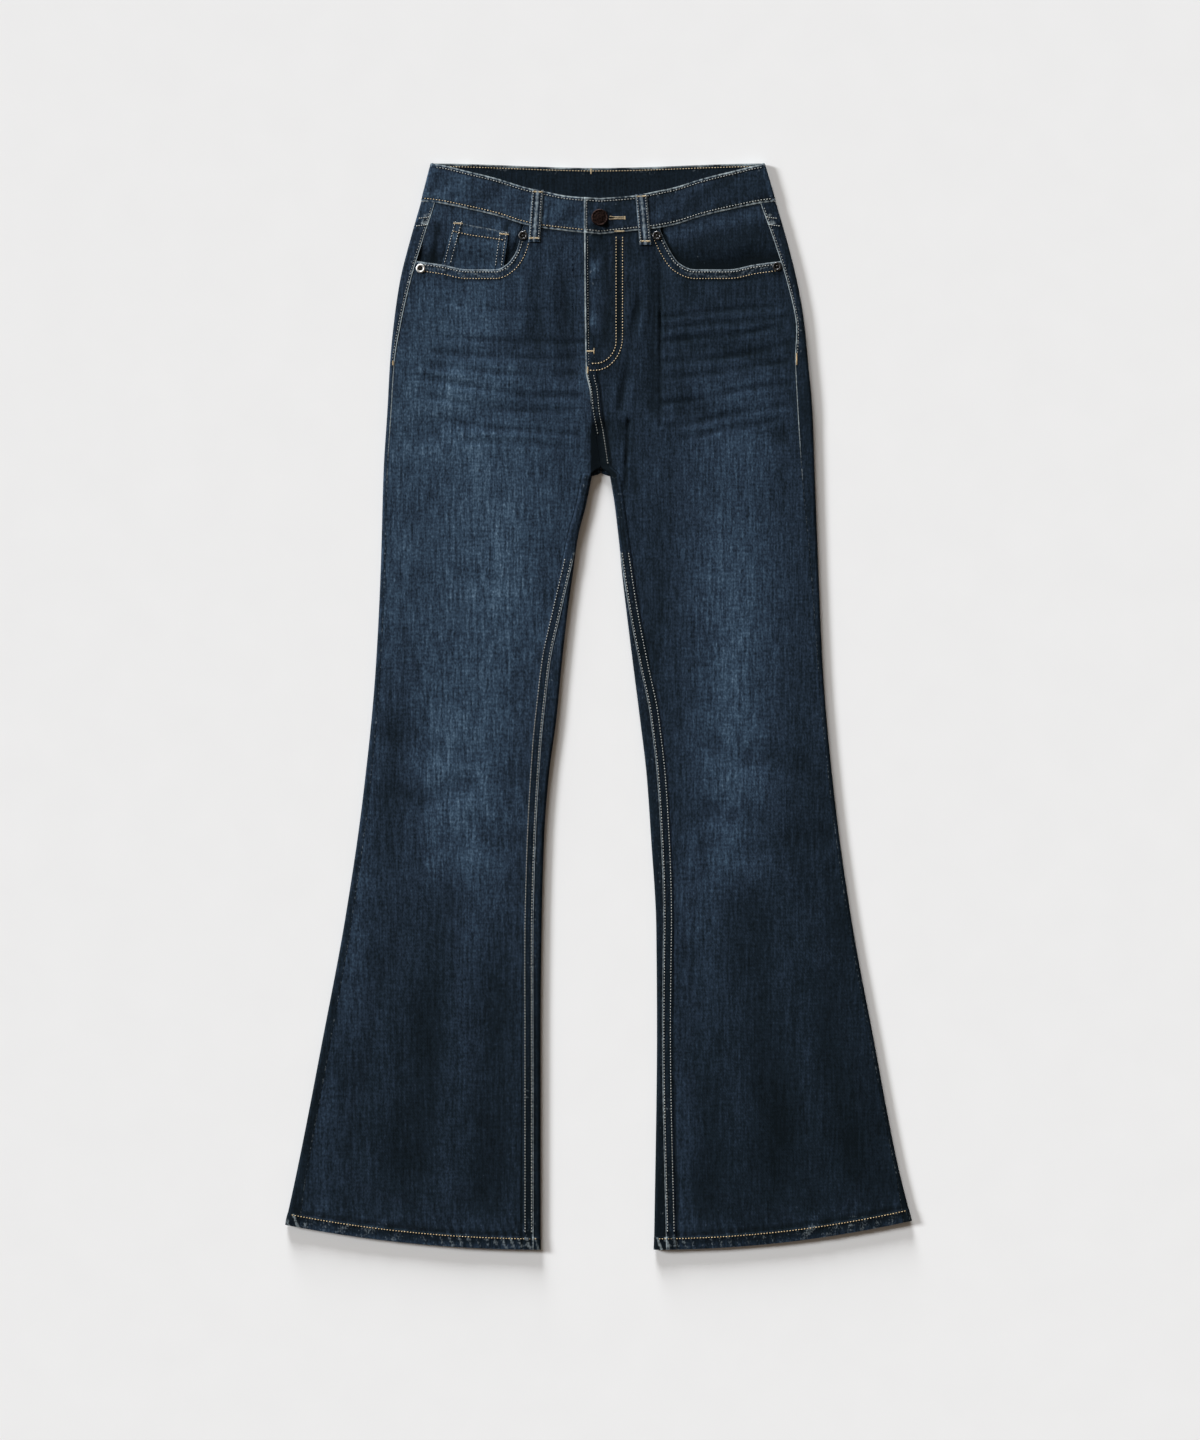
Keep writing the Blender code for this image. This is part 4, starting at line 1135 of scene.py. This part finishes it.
class Sewing:
    """Stitches of one thread, gathered into one mesh."""

    def __init__(self, name, material, slot):
        self.name, self.material, self.slot, self.places, self.holes = name, material, slot, [], []

    def stitch(self, start, end, width, hole=False):
        """One stitch: a low rounded bead of thread between two needle holes; with hole set, a bead of
        painted shade over a needle hole.
        """
        start, end = np.array(start, dtype=float), np.array(end, dtype=float)
        along = end - start
        length = math.sqrt(along @ along)
        along /= length
        side = np.array((-along[1], along[0], 0.0))
        side /= math.sqrt(side @ side)
        lift = np.array((side[1] * along[2], -side[0] * along[2], side[0] * along[1] - side[1] * along[0]))
        self.places.append((side * width, along * length, lift * width * 0.7, (start + end) / 2))
        self.holes.append(hole)

    def row(self, line, pitch=STITCH_PITCH, width=1.15, gap=1.25):
        """Lockstitches along a line of points, each a little off the last."""
        line = np.asarray(line, dtype=float)
        steps = np.linalg.norm(np.diff(line, axis=0), axis=1)
        travelled = np.concatenate(([0], np.cumsum(steps)))
        count = int(travelled[-1] / pitch)
        for k in range(count):
            stray = 0.12 * math.sin(k * 2.4 + count)
            begin = k * pitch + 0.1 * math.sin(k * 5.1)
            ends = (begin, begin + pitch - gap, begin + pitch)
            first, last, after = (
                [np.interp(place, travelled, line[:, axis]) for axis in range(3)] for place in ends
            )
            # A bead of painted shade over the gap between stitches.
            self.stitch(last, after, width * 0.9, hole=True)
            first[0] += stray * 0.6
            last[0] -= stray * 0.4
            self.stitch(first, last, width * (1 + 0.12 * math.sin(k * 3.3)))

    def bartack(self, middle, along, length, width=1.5, count=11):
        """A bar of close stitches across a strained end."""
        along = Vector(along).normalized()
        across_bar = Vector((0, 0, 1)).cross(along)
        for k in range(count):
            place = Vector(middle) + along * length * (k / (count - 1) - 0.5)
            tilt = along * 0.25 * (-1) ** k
            self.stitch(place - across_bar * width / 2 - tilt, place + across_bar * width / 2 + tilt, 0.62)
        for offset in (-0.3, 0.3):
            base = Vector(middle) + across_bar * offset * width - Vector((0, 0, 0.12))
            self.stitch(base - along * length / 2, base + along * length / 2, 0.5)

    def done(self):
        """Sets one bead at every place."""
        bead = bmesh.new()
        bmesh.ops.create_uvsphere(bead, u_segments=6, v_segments=4, radius=0.5)
        lying = Matrix.Rotation(math.pi / 2, 3, "X")
        bmesh.ops.rotate(bead, cent=(0, 0, 0), matrix=lying, verts=bead.verts)
        shape = np.array([vert.co[:] for vert in bead.verts])
        faces = [[vert.index for vert in face.verts] for face in bead.faces]
        bead.free()
        places = np.array(self.places)
        points = np.einsum("vk,skx->svx", shape, places[:, :3]) + places[:, 3:]
        starts = range(0, len(places) * len(shape), len(shape))
        mesh = bpy.data.meshes.new(self.name)
        copies = [[index + start for index in face] for start in starts for face in faces]
        mesh.from_pydata(points.reshape(-1, 3) / 1000, [], copies)
        ridden(mesh, self.name, self.material, 80)
        # Beads marked as holes take the painted shade material.
        mesh.materials.append(NEEDLE_HOLE_SHADE)
        mesh.polygons.foreach_set("material_index", np.repeat(np.array(self.holes, dtype=int), len(faces)))


SINK = 0.16  # thread above the cloth's outer points, at the stitch's middle
BUTTONHOLE = 54.0


def on_front(side, x, down, raise_by=0.0):
    """Points on the upper side of the garment for stitches to lie on."""
    x, down = np.broadcast_arrays(np.asarray(x, float), np.asarray(down, float))
    return spots(x, down, top(side, x, down) + raise_by + SINK)


def sew_waistband(tan, grey):
    """Rows along both edges of the waistband, down its lapped end and inside its back."""
    for side, stop in ((-1, LAP_END - 1.5), (1, LAP_END + 2.5)):
        x = np.linspace(stop, outer_edge(side, 2.0) - side * 2, 200)
        grey.row(on_front(side, x, waist_top(x) + 3.0, BAND_RAISE - 0.16), width=0.8)
        x = np.linspace(stop, outer_edge(side, 36.0) - side * 1.5, 200)
        line = on_front(side, x, waist_seam(x) - 3.2, BAND_RAISE - 0.16)
        (tan if side < 0 else grey).row(line, width=0.95)
    down = np.linspace(float(waist_top(LAP_END)) + 3, float(waist_seam(LAP_END)) - 3, 30)
    grey.row(on_front(1, LAP_END + 2.6, down, BAND_RAISE - 0.1), pitch=2.6, width=0.7, gap=1.3)
    x = np.linspace(-157, 157, 200)
    tan.row(spots(x, back_sag(x) + 3.0, SEAT_RISE + BAND_WALL + 0.1), width=0.95)
    tack = (-7.3, LENGTH / 2 - BACK_SAG - 3.2, SEAT_RISE + BAND_WALL + 0.25)
    tan.bartack(tack, (0, 1, 0), 5.0, 1.4, 8)


def sew_buttonhole(tan):
    """Close stitches round the part of the buttonhole that shows beyond the button."""
    for x in np.arange(10.5, 25.5, 0.62):
        spread = 0.25 + 0.5 * math.exp(-(((x - 12) / 2.2) ** 2))
        for way in (-1, 1):
            near = on_front(1, x, BUTTONHOLE + way * spread, BAND_RAISE + 0.05)
            far = on_front(1, x + 0.1, BUTTONHOLE + way * (spread + 1.2), BAND_RAISE - 0.05)
            tan.stitch(near, far, 0.55)
    tan.bartack(on_front(1, 26.0, BUTTONHOLE, BAND_RAISE + 0.05), (0, 1, 0), 2.6, 1.0, 5)


# The fly's curved rows: place across, reach and drop of the curve, where it starts, where it ends.
FLY_ROWS = (
    # row  reach  corner  drop   end
    (17.3, 20.5, 174.0, 22.5, -9.0),
    (23.6, 27.0, 170.0, 33.2, -11.0),
)
# The fly's tacks: middle across and down, raise, direction across and along, length, width, stitches.
FLY_TACKS = (
    (-8.0, 184.5, 0.5, 1, 0, 7.0, 1.6, 9),
    (-4.4, 184.5, 0.5, 0, 1, 5.0, 1.0, 7),
    (-10.6, 203, 0.5, 0, 1, 6.0, 1.4, 9),
    (20.5, 67.0, BAND_RAISE, 1, 0, 9.0, 1.2, 12),
)


def sew_fly(tan, grey):
    """The fly: a fine row at its edge, the curved double row, tacks, then the rise's felled rows."""
    down = np.linspace(72, FLY_END - 4, 90)
    grey.row(on_front(1, CENTRE.at("front", down) + 3.4, down, 0.42), pitch=2.6, width=0.4, gap=1.3)
    quarter = np.linspace(0, math.pi / 2, 40)
    for row, reach, corner, drop, end in FLY_ROWS:
        x = np.concatenate(([row], row - reach * (1 - np.cos(quarter)), [end]))
        down = np.concatenate(([72.5], corner + drop * np.sin(quarter), [corner + drop + 0.2]))
        x, down = (np.interp(np.linspace(0, 41, 250), range(42), values) for values in (x, down))
        tan.row(on_front(1, x, down, placket(x - CENTRE.at("front", down), down)))
    for x, down, raise_by, cross, along, length, width, count in FLY_TACKS:
        tan.bartack(on_front(1, x, down, raise_by), (cross, along, 0), length, width, count)
    for offset, end in ((2.0, 268.0), (7.6, 297.0)):
        down = np.linspace(FLY_END + 4, end, 80)
        x = CENTRE.at("front", down) + offset
        grey.row(on_front(1, x, down, FELL_RAISE), pitch=2.7, width=0.8, gap=1.35)


def mouth_line(side, offset):
    """The pocket mouth's curve on the front, moved off its edge into the panel."""
    share = MOUTH.at(NAME[side], np.linspace(0.12, 6.8, 120))
    down = mouth_down(side, share)
    start = outseam(side, down)
    x = start + share * (CENTRE.at("front", down) - start)
    along = np.gradient(np.stack((x, down), axis=-1), axis=0)
    along /= np.linalg.norm(along, axis=1, keepdims=True)
    return x + side * along[:, 1] * offset, down + np.abs(along[:, 0]) * offset


def sew_pockets(tan, grey):
    """Two rows along each pocket's mouth, the first on the turned edge and the second beside it."""
    for side in (-1, 1):
        for offset, lift, sewing in ((2.6, 0.12, grey), (9.0, -0.02, tan)):
            x, down = mouth_line(side, offset)
            keep = down > waist_seam(x) + 1.5
            sewing.row(on_front(side, x[keep], down[keep], lift), width=0.95)


def sew_coin_pocket(tan, grey):
    """A row under the top hem, two down each side, and a tack at each top corner."""
    points, _, _, sunk = coin_grid(coin_columns(60))
    points[..., 2] += SEAM_GAP - sunk + PATCH_WALL + 0.3
    tan.row(points[4, 2:-2], width=0.95)
    for column, inward, slant in ((0, 1, 0.0), (-1, -1, -0.1)):
        for offset in (2.2, 8.2):
            grey.row(points[:-1, column] + np.array((inward * offset, 0, 0)), width=0.9)
        corner = points[0, column] + np.array((inward * 4.5, -2.0, 0.1))
        tan.bartack(corner, (1, slant, 0), 8.5, 1.4, 12)


def sew_loops(tan, grey):
    """Two rows down each front loop, and a tack across each of its ends."""
    for side in (-1, 1):
        points, _, _ = loop_grid(side)
        points[..., 2] += 0.08
        for column in (1, 7):
            grey.row(points[1:-1, column], pitch=2.6, width=0.9, gap=1.3)
        tan.bartack(points[2, 4], (1, 0.05 * side, 0), 9.5, 1.6, 14)
        tan.bartack(points[-4, 4] + np.array((0, 0, 0.05)), (1, 0, 0), 9.5, 1.8, 14)


def sew_outseams(grey, copper):
    """Short topstitching down each hip on the back's turned edge, ending in a tack."""
    for side, end, length, count in ((-1, 194.0, 4.0, 7), (1, 190.0, 11.0, 16)):
        down = np.linspace(44, end, 90)
        x = outseam(side, down) + side * 2.2
        grey.row(on_front(side, x, down, FELL_RAISE - 0.16), pitch=2.8, width=0.55, gap=1.3)
        tack = on_front(side, outseam(side, end) + side * 1.6, end + 2, FELL_RAISE)
        copper.bartack(tack, (0, 1, 0), length, 1.3, count)
        for level in (53.0, 60.5):  # the yoke's two rows, where they come over the edge
            x = np.linspace(outseam(side, level) + side, outer_edge(side, level) - side * 1.2, 12)
            line = on_front(side, x, level + 0.12 * np.abs(x - x[0]), FELL_RAISE)
            grey.row(line, pitch=2.2, width=0.9, gap=0.6)


def sew_inseams(grey):
    """Two rows along each felled inseam, from where it comes over the edge to the hem."""
    for side in (-1, 1):
        down = np.linspace(385 - 3 * side, LENGTH - HEM_DEPTH - 2, 500)
        for offset in (1.9, 8.3):
            path = inseam_path(side, down) + offset
            made = round_edge(side, inner_edge(side, down), side, path, down)
            line = spots(made[:, 0], down, made[:, 1] + FELL_RAISE + SINK - 0.04)
            grey.row(line[made[:, 3] > 0.35], width=0.95)


def across_hem(side, from_outside, from_inside, count):
    """Places across a hem, from so far inside its outer edge to so far inside its inner edge."""
    outside = outer_edge(side, HEM_OUTSIDE) - side * from_outside
    return np.linspace(outside, inner_edge(side, HEM_INSIDE) + side * from_inside, count)


def sew_hems(copper):
    """One row round each hem, at the turned edge."""
    for side in (-1, 1):
        x = across_hem(side, 3.2, 2.0, 260)
        down = hem_line(side, LENGTH - HEM_DEPTH + 1.2, x)
        copper.row(on_front(side, x, down, HEM_RAISE - 0.05), width=0.95)


def sew_under(grey):
    """The hidden side: yoke and seat seams, back pockets, hems and waistband."""

    def on_floor(x, down):
        return spots(x, down, floor(down) - 0.02)

    for side in (-1, 1):
        share = np.linspace(0.03, 0.99, 60)
        for offset in (2.0, 8.0):
            down = yoke_seam(share) - offset
            grey.row(on_floor(mix(outer_edge(side, down), 0.0, share), down))
        for inset, drop in ((0.012, 2.5), (0.045, 8.5)):
            low, high = POCKET_OUTER + inset, POCKET_INNER - inset
            column = np.concatenate((np.full(20, low), np.linspace(low, high, 41), np.full(20, high)))
            step = np.concatenate((np.linspace(0, 1, 20), np.ones(41), np.linspace(1, 0, 20)))
            grey.row(spots(*back_pocket_at(side, column, step, drop / 190), -0.02))
        column = np.linspace(0.235, 0.825, 40)
        down = mix(yoke_seam(column), SEAT, POCKET_TOP) + 14
        grey.row(spots(mix(outer_edge(side, down), 0.0, column), down, -0.02))
        x = across_hem(side, 4.0, 4.0, 120)
        grey.row(on_floor(x, hem_line(side, LENGTH - HEM_DEPTH + 1.2, x)))
    down = np.linspace(106, 290, 60)
    for offset in (2.0, 8.0):
        grey.row(on_floor(CENTRE.at("back", down) + offset, down))
    x = np.linspace(-160, 160, 100)
    for offset in (3.0, BAND_DEPTH - 3.2):
        grey.row(on_floor(x, back_sag(x) + offset))


# ---------------------------------------------------------------------------------------------
# Metal


def turned(name, profile, steps, place, material, slot, node):
    """A round fitting turned from a profile of (radius, height) rows."""
    bm = bmesh.new()
    points = [bm.verts.new((radius, 0, height)) for radius, height in profile]
    for first, second in zip(points, points[1:]):
        bm.edges.new((first, second))
    bmesh.ops.spin(
        bm, geom=bm.verts[:] + bm.edges[:], cent=(0, 0, 0), axis=(0, 0, 1), dvec=(0, 0, 0),
        angle=2 * math.pi, steps=steps, use_merge=True,
    )
    bmesh.ops.remove_doubles(bm, verts=bm.verts, dist=0.001)
    bmesh.ops.recalc_face_normals(bm, faces=bm.faces)
    bmesh.ops.translate(bm, vec=place, verts=bm.verts)
    piece = finished(bm, name, material, 40)
    if node:
        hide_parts(node)
    return piece


def arc(radius, height, reach, rise, count, start=0.0, turn=math.pi / 2):
    """Rows of a profile round a curve."""
    angles = [start + turn * k / count for k in range(count + 1)]
    return [(radius + reach * math.cos(a), height + rise * math.sin(a)) for a in angles]


def build_button():
    """The button: a domed rim, a groove and a flat face."""
    low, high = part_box("button")
    x, y, seat = (low.x + high.x) * 500, (low.y + high.y) * 500, low.z * 1000
    rim = (high.x - low.x) * 500
    profile = [(0.0, 0.0), (rim - 1.6, 0.0), *arc(rim - 1.4, 1.4, 1.4, 1.4, 6, -math.pi / 2), (rim, 2.0)]
    profile += arc(rim - 1.1, 2.3, 1.1, 0.9, 6)
    profile += [(rim - 1.5, 3.0), (rim - 1.9, 2.85), (rim - 2.6, 2.9), (rim - 5.0, 3.1), (0.0, 3.2)]
    turned("button_fitting", profile, 48, (x, y, seat), BUTTON_COPPER, "button_metal", "button")


def build_rivet(node, ring_metal):
    """A rivet: a rounded ring, and a dished middle with a small point in a darker metal."""
    low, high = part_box(node)
    place = ((low.x + high.x) * 500, (low.y + high.y) * 500, low.z * 1000)
    rim = (high.x - low.x) * 500
    profile = [(rim - 2.3, 0.0), (rim - 0.4, 0.0), (rim, 0.3), *arc(rim - 1.1, 0.45, 1.1, 0.9, 8)]
    profile += arc(rim - 1.2, 0.7, 0.9, 0.65, 6, math.pi / 2)[1:] + [(rim - 2.3, 0.0)]
    turned(node + "_ring", profile, 36, place, ring_metal, "rivet_metal", node)
    middle = [(0.0, 0.1), (rim - 2.2, 0.1), (rim - 2.2, 0.5), (1.3, 0.4), (1.1, 0.9)]
    middle += [(0.7, 1.2), (0.0, 1.3)]
    turned(node + "_middle", middle, 24, place, RIVET_POST, "rivet_metal", None)


# ---------------------------------------------------------------------------------------------
# Making

# Dull dark blue with pale flecks along the warp, paler where it was rubbed and where highlights are
# painted, darker where shade is painted.
WASHED_DENIM = denim("Denim, indigo 3/1 twill, stonewashed")
# Painted shade in the needle holes: almost black beads that part the stitches.
NEEDLE_HOLE_SHADE = mottled("Painted shade in needle holes", "#080b10", "#10161d", 1.0, 0.0, 0.0, 400.0, 0.3)
# Matt twisted threads that washing has left paler than they were dyed.
TAN_THREAD = thread("Polyester core thread, tan", "#94815f", "#dac8a6")
GREY_THREAD = thread("Polyester core thread, faded grey", "#7d807d", "#c9cbc4")
COPPER_THREAD = thread("Polyester core thread, copper", "#9c825c", "#dcc49a")
# A dark brown sheen without a sharp reflection.
BUTTON_COPPER = metal("Brass, antique copper plate, lacquered", "#181312", "#382b28", 0.5)
# A rivet's middle is nearly black. The rings are all one nickel plate: a painted highlight on the right
# hip's outer rivet, painted shade on the other three.
RIVET_POST = metal("Brass, blackened", "#17181a", "#4b4a48", 0.5)
NICKEL_PAINTED_SHADE = metal("Brass, nickel, painted shade", "#2a2c2f", "#6a6a6a", 0.38)
NICKEL_PAINTED_HIGHLIGHT = metal("Brass, nickel, painted highlight", "#cdcdc9", "#f0f0ec", 0.5)

for leg in (-1, 1):
    build_front(leg)
    build_back(leg)
    build_yoke(leg)
    build_facing(leg)
    build_back_pocket(leg)
    build_front_loop(leg)
build_waistband()
build_coin_pocket()
for name, middle in BACK_LOOPS.items():
    build_back_loop(name, middle)

tan_sewing = Sewing("stitching_tan", TAN_THREAD, "denim_band")
grey_sewing = Sewing("stitching_faded", GREY_THREAD, "denim_front")
inseam_sewing = Sewing("stitching_inseams", GREY_THREAD, "denim_front")
hem_sewing = Sewing("stitching_hems", COPPER_THREAD, "denim_front")
under_sewing = Sewing("stitching_under", GREY_THREAD, "denim_back")
sew_waistband(tan_sewing, grey_sewing)
sew_buttonhole(tan_sewing)
sew_fly(tan_sewing, grey_sewing)
sew_pockets(tan_sewing, grey_sewing)
sew_coin_pocket(tan_sewing, grey_sewing)
sew_loops(tan_sewing, grey_sewing)
sew_outseams(grey_sewing, hem_sewing)
sew_inseams(inseam_sewing)
sew_hems(hem_sewing)
sew_under(under_sewing)
for sewing in (tan_sewing, grey_sewing, inseam_sewing, hem_sewing, under_sewing):
    sewing.done()

build_button()
# One nickel ring material, in a painted highlight copy and a painted shade copy.
build_rivet("rivet_right_outer", NICKEL_PAINTED_HIGHLIGHT)
build_rivet("rivet_right_inner", NICKEL_PAINTED_SHADE)
build_rivet("rivet_left_inner", NICKEL_PAINTED_SHADE)
build_rivet("rivet_left_outer", NICKEL_PAINTED_SHADE)


# ---------------------------------------------------------------------------------------------
# Table, light and camera


def build_table():
    """A pale painted board, larger than the view."""
    bm = bmesh.new()
    bmesh.ops.create_grid(bm, x_segments=2, y_segments=2, size=4.0)
    bmesh.ops.translate(bm, vec=(0, 0, -0.0004), verts=bm.verts)
    mesh = bpy.data.meshes.new("table")
    bm.to_mesh(mesh)
    bm.free()
    board = mottled("Board, matt white paint", "#e8e8e7", "#eaeae9", 0.9, 0.0, 0.1, 20.0, 0.3)
    mesh.materials.append(board)
    table = bpy.data.objects.new("table", mesh)
    bpy.context.scene.collection.objects.link(table)


def add_sun(name, direction, strength, angle, colour):
    """A wide lamp a long way off, shining along a direction."""
    data = bpy.data.lights.new(name, "SUN")
    data.energy, data.angle, data.color = strength, math.radians(angle), colour
    lamp = bpy.data.objects.new(name, data)
    lamp.rotation_euler = Vector(direction).to_track_quat("-Z", "Y").to_euler()
    bpy.context.scene.collection.objects.link(lamp)


def light_scene():
    """A soft key low on the left, a wider one low from the top, and a warmer even fill."""
    add_sun("key", (1.0, -0.30, -0.50), 3.77, 14, (0.93, 0.96, 1.0))
    add_sun("top", (0.20, -1.0, -0.215), 6.3, 20, (0.95, 0.97, 1.0))
    world = bpy.data.worlds.new("Studio")
    bpy.context.scene.world = world
    world.use_nodes = True
    background = world.node_tree.nodes["Background"]
    background.inputs[0].default_value = (0.155, 0.126, 0.100, 1)
    background.inputs[1].default_value = 1.0


def place_camera():
    """Straight above, a long lens, the garment framed as the photograph frames it."""
    data = bpy.data.cameras.new("camera")
    camera = bpy.data.objects.new("camera", data)
    bpy.context.scene.collection.objects.link(camera)
    millimetre_per_pixel, distance = 0.98, 4.0
    picture_height, sensor = 1440 * millimetre_per_pixel / 1000, 24.0
    data.sensor_fit, data.sensor_height = "VERTICAL", sensor
    data.lens = sensor * distance / picture_height
    middle_x, middle_y = (600 - 598.5) * millimetre_per_pixel, (706.5 - 720) * millimetre_per_pixel
    camera.location = (middle_x / 1000, middle_y / 1000, distance + 0.006)
    bpy.context.scene.camera = camera


bpy.context.scene.view_settings.view_transform = "Standard"
build_table()
light_scene()
place_camera()
